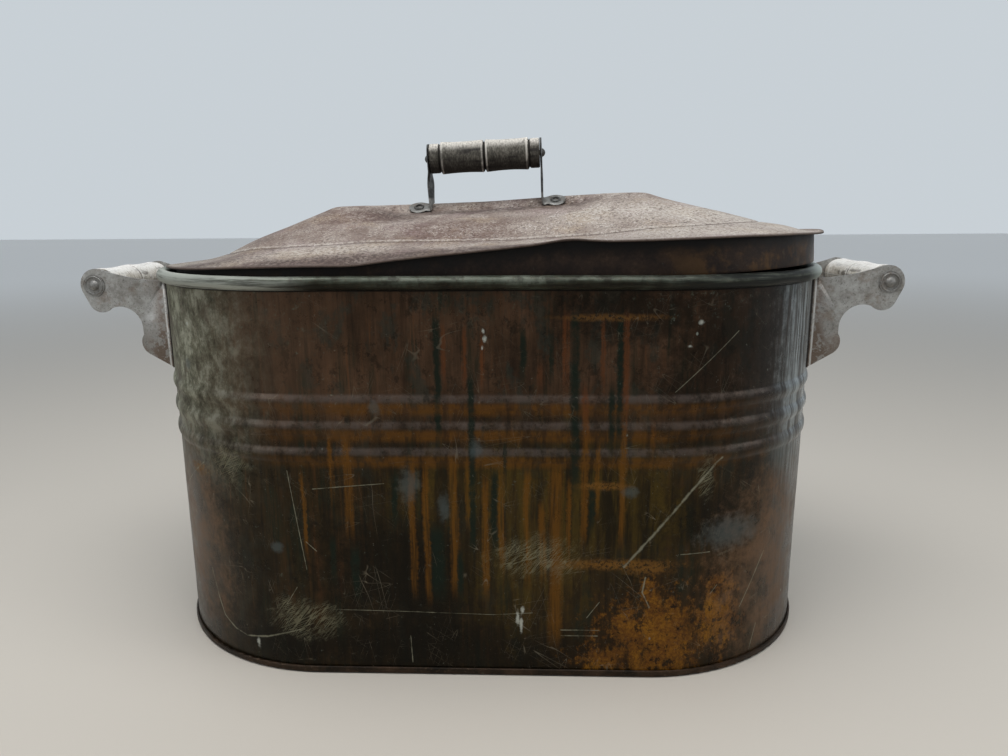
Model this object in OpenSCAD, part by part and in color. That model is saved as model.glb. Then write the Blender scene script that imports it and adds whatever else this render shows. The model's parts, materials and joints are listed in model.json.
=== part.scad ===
// Laundry copper boiler: an oval copper wash boiler with turned wooden handles at its ends
// and a lid that sits askew, propped on the rim at its right end.
// Millimetres, +X to the right, +Y away from the viewer, +Z up.
// The origin is on the table, under the middle of the oval.

/* [Body] */
// Length of the oval, outside its walls
body_l = 584; // [500:2:680]
// Width of the oval, outside its walls
body_w = 314; // [270:2:360]
// Height from the table to the top of the rim
body_h = 328.5; // [280:0.5:400]
// Thickness of the copper sheet
sheet_t = 0.7; // [0.5:0.05:1.1]
// Film of solder between two sheets
solder_gap = 0.05; // [0.03:0.01:0.1]
// Height of the double seam that locks the bottom to the walls
seam_h = 6; // [5:0.5:10]
// Width of the lap where the two side sheets meet, at each end
lap_w = 12; // [6:1:16]

/* [Beads] */
// Number of raised beads round the walls
bead_count = 3; // [1:1:4]
// Drop from the top of the rim to the middle of the highest bead
bead_drop = 97; // [95:1:115]
// Distance from one bead to the next
bead_pitch = 21.2; // [16:0.2:26]
// Height of one bead, up the wall
bead_w = 12; // [9:0.5:14]
// How far a bead stands out from the wall
bead_proud = 2; // [1:0.1:2.6]

/* [Rim] */
// Diameter of the wire inside the rolled rim
rim_wire_d = 9; // [6:0.5:10]
// How far the middle of that wire stands outside the wall
rim_out = 2; // [1:0.25:3]

/* [Side handles] */
// Reach from the end wall to the middle of the side grips
grip_reach = 54.3; // [50:0.5:64]
// Drop from the top of the rim to the middle of the side grips
grip_drop = 15.1; // [13:0.1:17]
// Length of a side grip
side_grip_l = 111.4; // [96:0.5:124]
// Thickness of the handle brackets
ear_t = 1.6; // [1.2:0.1:2.4]
// Height of a bracket where it lies on the wall
ear_h = 78; // [72:0.5:81]
// Width of the lower leg of a bracket
ear_leg_w = 25.2; // [20:0.2:28]
// Height of the neck that carries the eye
ear_neck_h = 22.8; // [19:0.2:25]
// Radius of the finger notch under the neck
ear_notch_r = 19.4; // [15:0.2:21]
// Radius of the eye round the rod
ear_eye_r = 14.6; // [13:0.2:16]
// Diameter of the side rods
side_rod_d = 6.4; // [5:0.2:8]
// Outer diameter of the washers under the rod heads
washer_d = 18.8; // [16:0.2:22]
// Thickness of those washers
washer_t = 1.2; // [0.8:0.1:2]
// Diameter of the rivets that hold the brackets
rivet_d = 4.8; // [4:0.2:6]
// Distance between the two columns of rivets
rivet_span = 76; // [60:1:88]
// Distance between the two rows of rivets
rivet_rise = 44; // [30:1:54]

/* [Turned grips] */
// Largest diameter of a grip, at its flares
grip_flare_d = 29; // [26:0.5:31]
// Diameter at the waist of each barrel
grip_waist_d = 27.2; // [24:0.2:29]
// Diameter of the collars at the ends
grip_collar_d = 26.4; // [23:0.2:28]
// Length of a collar
grip_collar_l = 8.5; // [6:0.5:14]
// Width of the turned grooves
groove_w = 1.6; // [1:0.1:2.4]
// Depth of the turned grooves
groove_depth = 1.1; // [0.6:0.1:1.6]
// Clearance of a grip round its rod
grip_bore_gap = 0.1; // [0.05:0.01:0.1]

/* [Lid] */
// Thickness of the lid sheet
lid_t = 0.8; // [0.6:0.05:1.2]
// How far the brim reaches past the crown of the rim
brim_over = 0.5; // [0:0.1:4]
// Width of the brim, from the edge to the crease
brim_w = 52.5; // [40:0.5:64]
// Rise of the brim
brim_rise = 9.5; // [6:0.5:14]
// Rise of the whole lid, from the edge to the flat ridge
lid_rise = 42.5; // [32:0.5:52]
// Half the width of the flat ridge
ridge_half_w = 9.5; // [9.4:0.1:14]
// Width of the folded hem round the edge
hem_w = 5; // [3:0.5:7]
// Depth of the skirt, below the edge of the lid
skirt_depth = 26; // [18:0.5:32]
// Clearance between the skirt and the rim when the lid is on straight
lid_fit_gap = 2.25; // [1.8:0.05:3]
// How far the right end of the skirt stands over the rim roll
lid_perch = 1.75; // [1:0.05:3]
// How far the front of the lid is cocked up
lid_roll = 1; // [0:0.1:1.4]
// Gap left where the lid rests on the rim
rest_gap = 0.3; // [0.2:0.05:0.6]

/* [Lid handle] */
// Length of the lid grip
lid_grip_l = 100; // [90:0.5:116]
// How far the handle sits off the middle of the ridge
handle_shift = -2; // [-6:0.5:6]
// Rise from the ridge to the middle of the lid grip
lid_grip_rise = 39; // [32:0.5:48]
// Thickness of the two legs
leg_t = 1.8; // [1.2:0.1:2.4]
// Width of the legs
leg_w = 13; // [9:0.5:16]
// How far a leg leans in on its way down
leg_lean = 0.5; // [0:0.25:5]
// Radius of a foot
foot_r = 9.2; // [7:0.1:9.4]
// Reach from a leg to the middle of its foot
foot_reach = 11; // [10.5:0.5:16]
// Diameter of the lid rod
lid_rod_d = 5; // [4:0.2:6.4]
// Diameter of the rivets in the feet
foot_rivet_d = 4; // [3:0.2:5]

/* [Hidden] */
$fn = 96;

copper = [0.33, 0.22, 0.16];
verdigris = [0.42, 0.50, 0.45];
tinned_iron = [0.45, 0.44, 0.41];
lid_sheet = [0.52, 0.43, 0.39];
old_wood = [0.56, 0.51, 0.43];
dark_wood = [0.36, 0.32, 0.27];

cut = 1;            // how far a cutting shape reaches past what it cuts
fit = 0.1;          // clearance of a pin or rivet in its hole
seat = 0.05;        // gap between two flat faces that touch

// The oval: two half circles of wall_r round centres at +-half_run.
wall_r = body_w / 2;
half_run = (body_l - body_w) / 2;

// Rolled rim: the top of the wall is curled round a wire.
curl_in_r = rim_wire_d / 2 + solder_gap;
curl_r = curl_in_r + sheet_t;
rim_r = wall_r + rim_out;
rim_z = body_h - curl_r;
rim_in_r = rim_r - curl_r;
rim_under_z = rim_z - curl_r;
crease_z = rim_z - sqrt(pow(curl_in_r + sheet_t / 2, 2) - pow(rim_out + sheet_t / 2, 2));
curl_gap = 1.2;

// Double seam: wall, pan lip, wall hook and pan, each a sheet and a film further out.
hook_mid = solder_gap + sheet_t / 2;
bend_in_r = hook_mid;
bend_out_r = bend_in_r + sheet_t;
hook_z = sheet_t + solder_gap + bend_out_r;
seam_top_z = seam_h - bend_out_r;
seam_layer = sheet_t + solder_gap;

// Beads
bead_r = (pow(bead_w / 2, 2) + pow(bead_proud, 2)) / (2 * bead_proud);
bead_zs = [for (i = [0 : bead_count - 1]) body_h - bead_drop - i * bead_pitch];

// Lap between the side sheets
lap_z0 = seam_h + 4;
lap_z1 = crease_z - 6;
lap_deg = lap_w / wall_r * 180 / PI;
web_deg = 2 * sheet_t / wall_r * 180 / PI;

// Side handles
rod_x = body_l / 2 + grip_reach;
rod_z = body_h - grip_drop;
ear_in_y = side_grip_l / 2 + 0.5;
ear_out_y = ear_in_y + ear_t;
ear_wall_x = half_run + sqrt(pow(wall_r, 2) - pow(ear_in_y + ear_t / 2, 2));
ear_root = ear_wall_x - rod_x;
ear_top = rim_under_z - 0.8 - rod_z;
ear_foot = ear_top - ear_h;
bracket_in_r = wall_r + solder_gap;
bracket_out_r = bracket_in_r + ear_t;
bracket_deg = asin(ear_out_y / bracket_out_r);
washer_y = ear_out_y + seat;
rod_head_y = washer_y + washer_t + seat;
rod_head_r = side_rod_d / 2 + 1.6;
rod_head_h = 3;
rivet_mid_z = rod_z + ear_top - ear_h / 2;
rivet_deg = asin(rivet_span / 2 / wall_r);
rivet_head_r = rivet_d / 2 + 2;
rivet_head_h = 2.2;
burr_r = rivet_d / 2 + 2.6;
burr_t = 1;
// a flat face needs this much more room on the round wall
round_gap = 0.1;
burr_out_r = wall_r - sheet_t - round_gap;
burr_in_r = burr_out_r - burr_t;

// Lid, in its own frame: z = 0 is the top of its edge
lid_r = rim_r + brim_over;
crease_r = lid_r - brim_w;
brim_slope = brim_rise / brim_w;
roof_slope = (lid_rise - brim_rise) / (crease_r - ridge_half_w);
sheet_drop = lid_t / cos(atan(roof_slope));
skirt_r = rim_in_r - lid_fit_gap;
skirt_t = lid_t;
flange_w = 5;
leg_top_x = lid_grip_l / 2 + 0.4;
leg_foot_x = leg_top_x - leg_lean;
foot_x = leg_foot_x + leg_t + foot_reach;
grip_z = lid_rise + lid_grip_rise;
eye_r = grip_collar_d / 2;
foot_head_r = foot_rivet_d / 2 + 1.6;
foot_head_h = 0.9;
lid_burr_r = foot_rivet_d / 2 + 2.4;
lid_burr_t = 0.9;
lid_shift = lid_fit_gap + lid_perch;

// A point of the lid's frame once the lid is cocked up
function lid_turn(p, tilt) =
  let (y = p.y * cos(lid_roll) + p.z * sin(lid_roll))
  let (z = p.z * cos(lid_roll) - p.y * sin(lid_roll))
  [p.x * cos(tilt) - z * sin(tilt), y, p.x * sin(tilt) + z * cos(tilt)];

// A point of the oval of radius r, at angle a round its nearer end
function oval_point(r, a, z) = [sign(cos(a)) * half_run + r * cos(a), r * sin(a), z];

// Distance of a plan point from the straight line between the two centres
function oval_radius(x, y) = norm([max(abs(x) - half_run, 0), y]);

// Height of the rim under a plan point, and far below where no rim is
function rim_height(x, y) =
  let (off = oval_radius(x, y) - rim_r)
  abs(off) < curl_r ? rim_z + sqrt(pow(curl_r, 2) - pow(off, 2)) : -1000;

// Room between the rim and an edge of the lid, were the lid's middle at z = 0
function room(r, z, tilt, a0, a1) =
  min([for (a = [a0 : 2.5 : a1])
    let (p = lid_turn(oval_point(r, a, z), tilt))
    p.z - rim_height(p.x + lid_shift, p.y)]);
function hem_room(tilt) =
  min([for (w = [0 : hem_w / 4 : hem_w])
    room(lid_r - w, w * brim_slope - 2 * sheet_drop, tilt, 91, 269)]);
function skirt_room(tilt) =
  min([for (w = [0, skirt_t]) room(skirt_r - w, -skirt_depth, tilt, -89, 89)]);

// The tilt at which the hem's left end and the skirt's right end rest at once
function rest_tilt(low = 0, high = 10, steps = 18) =
  let (mid = (low + high) / 2)
  steps == 0 ? mid :
  skirt_room(mid) < hem_room(mid) ? rest_tilt(mid, high, steps - 1) :
  rest_tilt(low, mid, steps - 1);

lid_tilt = rest_tilt();
lid_z = rest_gap - min(hem_room(lid_tilt), skirt_room(lid_tilt));

// ---- helpers ----

// A half or quarter turn of a section round one end of the oval
module end_turn(side, from, to) {
  translate([side * half_run, 0, 0])
    rotate([0, 0, from])
      rotate_extrude(angle = to - from) children();
}

// The straight run of a section, on the front (-1) or the back (1)
module straight_run(face) {
  rotate([90, 0, face * 90])
    linear_extrude(2 * half_run, center = true) children();
}

// A section carried all the way round the oval
module oval_ring() {
  end_turn(1, -90, 90) children();
  end_turn(-1, 90, 270) children();
  straight_run(-1) children();
  straight_run(1) children();
}

// A section carried round the front half only
module front_half() {
  end_turn(1, -90, 0) children();
  end_turn(-1, 180, 270) children();
  straight_run(-1) children();
}

// Everything inside a wall face that lies off from the outer one, beads included
module within_wall(off, z0, z1) {
  translate([0, z0]) square([wall_r - off, z1 - z0]);
  for (z = bead_zs) translate([wall_r + bead_proud - bead_r, z]) circle(bead_r - off);
}

module wall_section() {
  difference() {
    within_wall(0, hook_z, crease_z);
    within_wall(sheet_t, hook_z - cut, crease_z + cut);
  }
  curl_section();
  hook_section();
}

// The curl round the wire, open under the rim beside the wall
module curl_section() {
  difference() {
    translate([rim_r, rim_z]) circle(curl_r);
    translate([rim_r, rim_z]) circle(curl_in_r);
    translate([wall_r, rim_under_z - cut]) square([curl_gap, cut + 1.6 * sheet_t]);
  }
}

// The wall's foot, turned out and up to hook into the pan
module hook_section() {
  translate([wall_r + hook_mid, hook_z]) {
    difference() {
      circle(bend_out_r);
      circle(bend_in_r);
      translate([-2 * bend_out_r, 0]) square([4 * bend_out_r, 2 * bend_out_r]);
    }
    translate([bend_in_r, 0]) square([sheet_t, seam_top_z - hook_z]);
    translate([-bend_out_r, -0.2]) square([sheet_t, 1]);
  }
}

// Bottom sheet, its edge turned up outside the hook and folded down behind it
module pan_section() {
  pan_bend_r = bend_out_r + solder_gap;
  square([wall_r + hook_mid, sheet_t]);
  translate([wall_r + hook_mid, hook_z])
    intersection() {
      difference() {
        circle(pan_bend_r + sheet_t);
        circle(pan_bend_r);
      }
      translate([-0.2, -2 * hook_z]) square([2 * hook_z, 2 * hook_z]);
    }
  translate([wall_r + hook_mid + pan_bend_r, hook_z - 0.2])
    square([sheet_t, seam_top_z - hook_z + 0.2]);
  translate([wall_r + seam_layer + bend_in_r, seam_top_z])
    difference() {
      circle(bend_out_r);
      circle(bend_in_r);
      translate([-2 * bend_out_r, -2 * bend_out_r]) square([4 * bend_out_r, 2 * bend_out_r]);
    }
  translate([wall_r + solder_gap, hook_z + solder_gap])
    square([sheet_t, seam_top_z - hook_z]);
}

// Where the sheets lap: a step in from the sheet's end, and a plain strip behind the other sheet
module lap_strip() {
  strip_r = wall_r - 2 * sheet_t - solder_gap;
  end_turn(1, -web_deg, lap_deg)
    translate([strip_r, lap_z0]) square([sheet_t, lap_z1 - lap_z0]);
  end_turn(1, -web_deg, 0)
    translate([strip_r + sheet_t / 2, lap_z0 + sheet_t])
      square([sheet_t + solder_gap, lap_z1 - lap_z0 - 2 * sheet_t]);
}

// Places of the bracket rivets: radial pins at two columns and two rows
module at_bracket_rivets(side) {
  for (column = [-1, 1], row = [-1, 1])
    translate([side * half_run, 0, rivet_mid_z + row * rivet_rise / 2])
      rotate([0, 0, column * rivet_deg + (side > 0 ? 0 : 180)])
        rotate([0, 90, 0]) children();
}

module bracket_rivet_holes() {
  for (side = [-1, 1])
    at_bracket_rivets(side)
      cylinder(h = wall_r + 2 * rivet_head_r, r = rivet_d / 2 + fit);
}

// ---- body ----

module side_sheet_front() {
  color(copper)
    difference() {
      front_half() wall_section();
      bracket_rivet_holes();
    }
}

// The back sheet laps behind the front one at both ends
module side_sheet_back() {
  color(copper)
    rotate([0, 0, 180])
      difference() {
        union() {
          front_half() wall_section();
          for (side = [0, 1]) mirror([side, 0, 0]) lap_strip();
        }
        bracket_rivet_holes();
      }
}

module bottom_pan() {
  color(copper) oval_ring() pan_section();
}

module rim_wire() {
  color(verdigris)
    oval_ring() translate([rim_r, rim_z]) circle(d = rim_wire_d);
}

// ---- side handles ----

// Outline of one bracket ear, in a frame with the eye's middle at 0, 0
module ear_outline() {
  eye = [-2, 0];
  lobe = [-4.5, -12.4];
  lobe_r = ear_eye_r * 0.8;
  top_r = (pow(eye.x - ear_root, 2) + pow(ear_top - eye.y, 2) - pow(ear_eye_r, 2))
    / (2 * (ear_eye_r - ear_top + eye.y));
  notch = [ear_root + ear_leg_w + ear_notch_r, ear_top - ear_neck_h - ear_notch_r];
  nose_r = 12;
  nose = [ear_root + ear_leg_w + 2.3 - nose_r, ear_foot + nose_r + 11];
  foot_dir = -59;
  difference() {
    polygon([
      [ear_root - 3, ear_foot - 1.8], [ear_root - 3, ear_top], [ear_root, ear_top],
      [eye.x - 3, eye.y + ear_eye_r], eye, lobe, notch,
      [ear_root + ear_leg_w, notch.y], [ear_root + ear_leg_w, nose.y],
      nose + nose_r * [cos(foot_dir), sin(foot_dir)]
    ]);
    translate([ear_root, ear_top + top_r]) circle(top_r, $fn = 360);
    translate(notch) circle(ear_notch_r);
  }
  translate(nose) circle(nose_r);
  hull() {
    translate(eye) circle(ear_eye_r);
    translate(lobe) circle(lobe_r);
  }
}

// The right-hand bracket: two ears joined by a plate that follows the end wall
module bracket_shape() {
  difference() {
    union() {
      for (y = [-ear_out_y, ear_in_y])
        translate([rod_x, y + ear_t, rod_z])
          rotate([90, 0, 0]) linear_extrude(ear_t) ear_outline();
      translate([0, 0, rod_z + ear_foot])
        end_turn(1, -bracket_deg, bracket_deg)
          translate([bracket_in_r, 0]) square([ear_t, ear_h]);
    }
    translate([half_run, 0, rod_z - 2 * ear_h]) cylinder(h = 3 * ear_h, r = bracket_in_r);
    translate([rod_x, 0, rod_z]) rotate([90, 0, 0])
      cylinder(h = 3 * ear_out_y, r = side_rod_d / 2 + fit, center = true);
    bracket_rivet_holes();
  }
}

// A rod along Y with a domed head at each end, headed at +-head_y
module headed_rod(d, head_y, head_r, head_h) {
  rotate([90, 0, 0]) cylinder(h = 2 * head_y + 1, d = d, center = true);
  for (way = [-1, 1])
    translate([0, way * head_y, 0]) rotate([-90 * way, 0, 0]) dome(head_r, head_h);
}

// A flat-bottomed dome of radius r and height h
module dome(r, h) {
  ball = (r * r + h * h) / (2 * h);
  intersection() {
    translate([0, 0, h - ball]) sphere(ball);
    cylinder(h = h + cut, r = r + cut);
  }
}

// A turned grip along X: two waisted barrels between grooves, and a collar at each end
module grip_shape(l, bore_d) {
  barrel_l = l / 2 - grip_collar_l - 1.5 * groove_w;
  sag = (grip_flare_d - grip_waist_d) / 2;
  waist_r = (pow(barrel_l / 2, 2) + pow(sag, 2)) / (2 * sag);
  core_r = grip_collar_d / 2 - groove_depth;
  rotate([0, 90, 0])
    rotate_extrude()
      difference() {
        union() {
          translate([0, -l / 2]) square([core_r, l]);
          for (way = [-1, 1]) {
            translate([0, way * (l - grip_collar_l) / 2 - grip_collar_l / 2])
              square([grip_collar_d / 2, grip_collar_l]);
            translate([0, way * (groove_w + barrel_l) / 2 - barrel_l / 2])
              difference() {
                square([grip_flare_d / 2, barrel_l]);
                translate([grip_waist_d / 2 + waist_r, barrel_l / 2]) circle(waist_r, $fn = 360);
              }
          }
        }
        translate([-cut, -l / 2 - cut]) square([bore_d / 2 + cut, l + 2 * cut]);
      }
}

// A washer with a raised ring pressed into its outer face
module washer_shape() {
  hole_r = side_rod_d / 2 + fit;
  ring_r = (hole_r + washer_d / 2) / 2 + 1.2;
  rotate_extrude()
    difference() {
      union() {
        translate([hole_r, 0]) square([washer_d / 2 - hole_r, washer_t]);
        translate([ring_r, washer_t]) circle(0.7);
      }
      translate([0, -cut]) square([washer_d, cut]);
    }
}

module side_handle_place(side) {
  mirror([side > 0 ? 0 : 1, 0, 0]) children();
}

module handle_bracket(side) {
  color(tinned_iron) side_handle_place(side) bracket_shape();
}

module handle_rod(side) {
  color(tinned_iron)
    side_handle_place(side)
      translate([rod_x, 0, rod_z]) headed_rod(side_rod_d, rod_head_y, rod_head_r, rod_head_h);
}

module handle_grip(side) {
  color(old_wood)
    side_handle_place(side)
      translate([rod_x, 0, rod_z])
        rotate([0, 0, 90]) grip_shape(side_grip_l, side_rod_d + 2 * grip_bore_gap);
}

module rod_washers(side) {
  color(tinned_iron)
    side_handle_place(side)
      for (way = [-1, 1])
        translate([rod_x, way * washer_y, rod_z]) rotate([-90 * way, 0, 0]) washer_shape();
}

// Rivets from the bracket's outer face to the burrs inside the wall
module bracket_rivets(side) {
  color(tinned_iron)
    at_bracket_rivets(side) {
      translate([0, 0, burr_in_r - 1]) cylinder(h = bracket_out_r - burr_in_r + 2, d = rivet_d);
      translate([0, 0, bracket_out_r + seat]) dome(rivet_head_r, rivet_head_h);
      translate([0, 0, burr_in_r - seat]) mirror([0, 0, 1]) dome(rivet_d / 2 + 0.8, 1.6);
    }
}

module rivet_burrs(side) {
  color(copper)
    at_bracket_rivets(side)
      translate([0, 0, burr_in_r])
        difference() {
          cylinder(h = burr_t, r = burr_r);
          translate([0, 0, -cut]) cylinder(h = burr_t + 2 * cut, r = rivet_d / 2 + fit);
        }
}

// ---- lid ----

module lid_frame() {
  translate([lid_shift, 0, lid_z]) rotate([-lid_roll, -lid_tilt, 0]) children();
}

// The lid's frame, moved to the middle of the handle
module handle_frame() {
  lid_frame() translate([handle_shift, 0, 0]) children();
}

// Half the lid's cross-section: ridge, roof, brim and the hem folded under the edge
module cover_section() {
  hem_in = lid_r - hem_w;
  hem_z = hem_w * brim_slope;
  polygon([
    [0, lid_rise], [ridge_half_w, lid_rise], [crease_r, brim_rise], [lid_r, 0],
    [lid_r, -2 * sheet_drop], [hem_in, hem_z - 2 * sheet_drop], [hem_in, hem_z - sheet_drop],
    [crease_r, brim_rise - sheet_drop], [ridge_half_w, lid_rise - sheet_drop],
    [0, lid_rise - sheet_drop]
  ]);
}

// The skirt, with a flange soldered under the brim
module skirt_section() {
  under = -sheet_drop - solder_gap;
  top_z = (lid_r - skirt_r) * brim_slope + under;
  flange_z = (lid_r - skirt_r + flange_w) * brim_slope + under;
  polygon([
    [skirt_r, -skirt_depth], [skirt_r, top_z], [skirt_r - flange_w, flange_z],
    [skirt_r - flange_w, flange_z - skirt_t],
    [skirt_r - skirt_t, top_z + skirt_t * brim_slope - skirt_t],
    [skirt_r - skirt_t, -skirt_depth]
  ]);
}

module at_feet() {
  for (way = [-1, 1]) translate([handle_shift + way * foot_x, 0, lid_rise]) children();
}

module lid_cover() {
  color(lid_sheet)
    lid_frame()
      difference() {
        oval_ring() cover_section();
        at_feet() cylinder(h = 6 * lid_t, r = foot_rivet_d / 2 + fit, center = true);
      }
}

module lid_skirt() {
  color(lid_sheet) lid_frame() oval_ring() skirt_section();
}

// A leg: an eye round the rod, a leaning strap and a round foot turned outwards
module leg_shape() {
  foot_z = lid_rise + seat;
  bend_z = lid_grip_rise - eye_r - 2;
  difference() {
    union() {
      intersection() {
        rotate([90, 0, 0])
          linear_extrude(2 * eye_r, center = true)
            translate([0, foot_z])
              polygon([
                [leg_foot_x, 0], [leg_foot_x + leg_t, 0],
                [leg_foot_x + leg_t, leg_t], [leg_top_x + leg_t, bend_z],
                [leg_top_x + leg_t, lid_grip_rise + eye_r], [leg_top_x, lid_grip_rise + eye_r],
                [leg_top_x, bend_z], [leg_foot_x, leg_t]
              ]);
        translate([leg_foot_x - cut, 0, 0]) rotate([90, 0, 90])
          linear_extrude(leg_lean + leg_t + 2 * cut) {
            translate([0, grip_z]) circle(eye_r);
            translate([-leg_w / 2, foot_z]) square([leg_w, lid_grip_rise]);
          }
      }
      translate([0, 0, foot_z]) linear_extrude(leg_t) {
        translate([foot_x, 0]) circle(foot_r);
        translate([leg_foot_x, -leg_w / 2]) square([foot_reach + leg_t, leg_w]);
      }
    }
    translate([leg_foot_x - cut, 0, grip_z]) rotate([0, 90, 0])
      cylinder(h = leg_lean + leg_t + 2 * cut, r = lid_rod_d / 2 + fit);
    translate([foot_x, 0, lid_rise - cut])
      cylinder(h = leg_t + 2 * cut, r = foot_rivet_d / 2 + fit);
  }
}

module lid_leg_left() {
  color(tinned_iron) handle_frame() mirror([1, 0, 0]) leg_shape();
}

module lid_leg_right() {
  color(tinned_iron) handle_frame() leg_shape();
}

module lid_handle_rod() {
  color(tinned_iron)
    handle_frame()
      translate([0, 0, grip_z])
        rotate([0, 0, 90])
          headed_rod(lid_rod_d, leg_top_x + leg_t + seat, lid_rod_d / 2 + 1.4, 3);
}

module lid_grip() {
  color(dark_wood)
    handle_frame()
      translate([0, 0, grip_z]) grip_shape(lid_grip_l, lid_rod_d + 2 * grip_bore_gap);
}

// Hollow rivets, with a low head on the foot and a tail spread under the burr
module lid_foot_rivets() {
  head_z = leg_t + 2 * seat;
  tail_z = -sheet_drop - lid_burr_t - 2 * seat;
  color(tinned_iron)
    lid_frame()
      at_feet()
        difference() {
          union() {
            translate([0, 0, tail_z]) cylinder(h = head_z - tail_z + foot_head_h, d = foot_rivet_d);
            translate([0, 0, head_z]) cylinder(h = foot_head_h, r = foot_head_r);
            translate([0, 0, tail_z - 1]) cylinder(h = 1, r = foot_rivet_d / 2 + 0.8);
          }
          translate([0, 0, head_z + foot_head_h - 2])
            cylinder(h = 2 + cut, d = foot_rivet_d * 0.6);
        }
}

module lid_rivet_burrs() {
  color(lid_sheet)
    lid_frame()
      at_feet()
        translate([0, 0, -sheet_drop - lid_burr_t - seat])
          difference() {
            cylinder(h = lid_burr_t, r = lid_burr_r);
            translate([0, 0, -cut]) cylinder(h = lid_burr_t + 2 * cut, r = foot_rivet_d / 2 + fit);
          }
}

side_sheet_front();
side_sheet_back();
bottom_pan();
rim_wire();
handle_bracket(-1);  // left_handle_bracket
handle_rod(-1);  // left_handle_rod
handle_grip(-1);  // left_handle_grip
rod_washers(-1);  // left_rod_washers
bracket_rivets(-1);  // left_bracket_rivets
rivet_burrs(-1);  // left_rivet_burrs
handle_bracket(1);  // right_handle_bracket
handle_rod(1);  // right_handle_rod
handle_grip(1);  // right_handle_grip
rod_washers(1);  // right_rod_washers
bracket_rivets(1);  // right_bracket_rivets
rivet_burrs(1);  // right_rivet_burrs
lid_cover();
lid_skirt();
lid_leg_left();
lid_leg_right();
lid_handle_rod();
lid_grip();
lid_foot_rivets();
lid_rivet_burrs();
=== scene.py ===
import json
import math

import bmesh
import bpy
import numpy as np
from mathutils import Matrix, Vector, noise


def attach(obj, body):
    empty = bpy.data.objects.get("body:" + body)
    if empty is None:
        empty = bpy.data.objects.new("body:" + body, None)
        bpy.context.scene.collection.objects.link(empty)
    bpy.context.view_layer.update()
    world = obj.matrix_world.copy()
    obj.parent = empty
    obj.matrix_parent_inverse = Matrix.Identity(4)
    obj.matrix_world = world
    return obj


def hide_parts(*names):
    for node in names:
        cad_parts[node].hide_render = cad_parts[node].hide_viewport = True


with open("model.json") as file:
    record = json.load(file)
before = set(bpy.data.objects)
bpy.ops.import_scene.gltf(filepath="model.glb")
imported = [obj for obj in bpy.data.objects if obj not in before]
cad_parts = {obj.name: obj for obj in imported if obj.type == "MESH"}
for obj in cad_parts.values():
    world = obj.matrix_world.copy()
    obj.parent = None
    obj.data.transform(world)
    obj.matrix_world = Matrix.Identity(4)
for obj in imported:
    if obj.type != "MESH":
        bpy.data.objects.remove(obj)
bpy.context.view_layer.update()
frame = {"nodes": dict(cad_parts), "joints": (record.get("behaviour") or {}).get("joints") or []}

MM = 0.001

# Sizes in millimetres, as in the part's source
WALL_R = 157.0
HALF_RUN = 135.0
SHEET = 0.7
RIM_R = 159.0
RIM_Z = 323.25
CURL_R = 4.9                 # middle of the curled sheet
BEAD_Z = (231.5, 210.3, 189.1)
BEAD_HALF = 6.0
BEAD_PROUD = 2.0
BEAD_BLEND = 0.35            # how softly a bead runs out into the wall
LID_R = 159.5
CREASE_R = 107.0
BRIM_RISE = 9.5
LID_RISE = 42.5
RIDGE_HALF = 9.5
HEM_W = 5.0
SKIRT_R = 151.5
SKIRT_DEPTH = 26.0
LID_GRIP_L = 100.0
LID_GRIP_RISE = 39.0
HANDLE_SHIFT = -2.0          # of the lid handle, along the ridge
SIDE_GRIP_L = 111.4
ROD_X = 346.3
ROD_Z = 313.4
GRIP_FLARE_R = 14.5
GRIP_WAIST_R = 13.6
GRIP_COLLAR_R = 13.2
GRIP_COLLAR_L = 8.5
GROOVE_HALF = 0.8
GROOVE_DEPTH = 1.1

WELD = 0.01                  # points this near to each other are one
ARC = math.pi * WALL_R       # length of a half circle of the wall
ROUND = HALF_RUN * 2 + ARC   # half the way round the oval


# ---- camera ----

def make_camera():
    """The photograph's camera, solved from the oval of the rim and the foot."""
    place = Vector((42.2, -717.8, 373.0)) * MM
    yaw, pitch, roll = (math.radians(a) for a in (-2.23, 12.25, -0.435))
    ahead = Vector((math.sin(yaw) * math.cos(pitch), math.cos(yaw) * math.cos(pitch), -math.sin(pitch)))
    level = Vector((math.cos(yaw), -math.sin(yaw), 0))
    up = level.cross(ahead)
    right = level * math.cos(roll) + up * math.sin(roll)
    top = up * math.cos(roll) - level * math.sin(roll)
    data = bpy.data.cameras.new("camera")
    data.sensor_width = 36
    focal, width = 757.5, 1008       # in pixels of the photograph
    data.lens = focal / width * data.sensor_width
    data.clip_start = 0.01
    data.clip_end = 100
    camera = bpy.data.objects.new("camera", data)
    turn = Matrix((right, top, -ahead)).transposed().to_4x4()
    camera.matrix_world = Matrix.Translation(place) @ turn
    bpy.context.scene.collection.objects.link(camera)
    bpy.context.scene.camera = camera


# ---- curves and meshes ----

def smooth(low, high, value):
    """0 below low, 1 above high, and smooth between. low may be the larger one."""
    t = np.clip((value - low) / (high - low), 0, 1)
    return t * t * (3 - 2 * t)


def bell(value, middle, width):
    """1 at the middle, falling off smoothly to each side."""
    return np.exp(-((value - middle) / width) ** 2)


def wander(points, scale, seed=0.0):
    """Smooth noise from -1 to 1 at each point, with waves about scale millimetres long."""
    shift = Vector((seed, 1.7 * seed, -seed))
    values = [noise.noise(Vector(p) / scale + shift) for p in points.reshape(-1, 3)]
    return np.reshape(values, points.shape[:-1])


def round_oval(u):
    """Centre x and outward normal at arc length u along the wall, from the middle of the front."""
    u = (u + ROUND) % (2 * ROUND) - ROUND
    side = math.copysign(1, u)
    far = abs(u)
    if far <= HALF_RUN:
        return u, 0.0, -1.0
    if far <= HALF_RUN + ARC:
        angle = (far - HALF_RUN) / WALL_R
        return side * HALF_RUN, side * math.sin(angle), -math.cos(angle)
    return side * (2 * HALF_RUN + ARC - far), 0.0, 1.0


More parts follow.
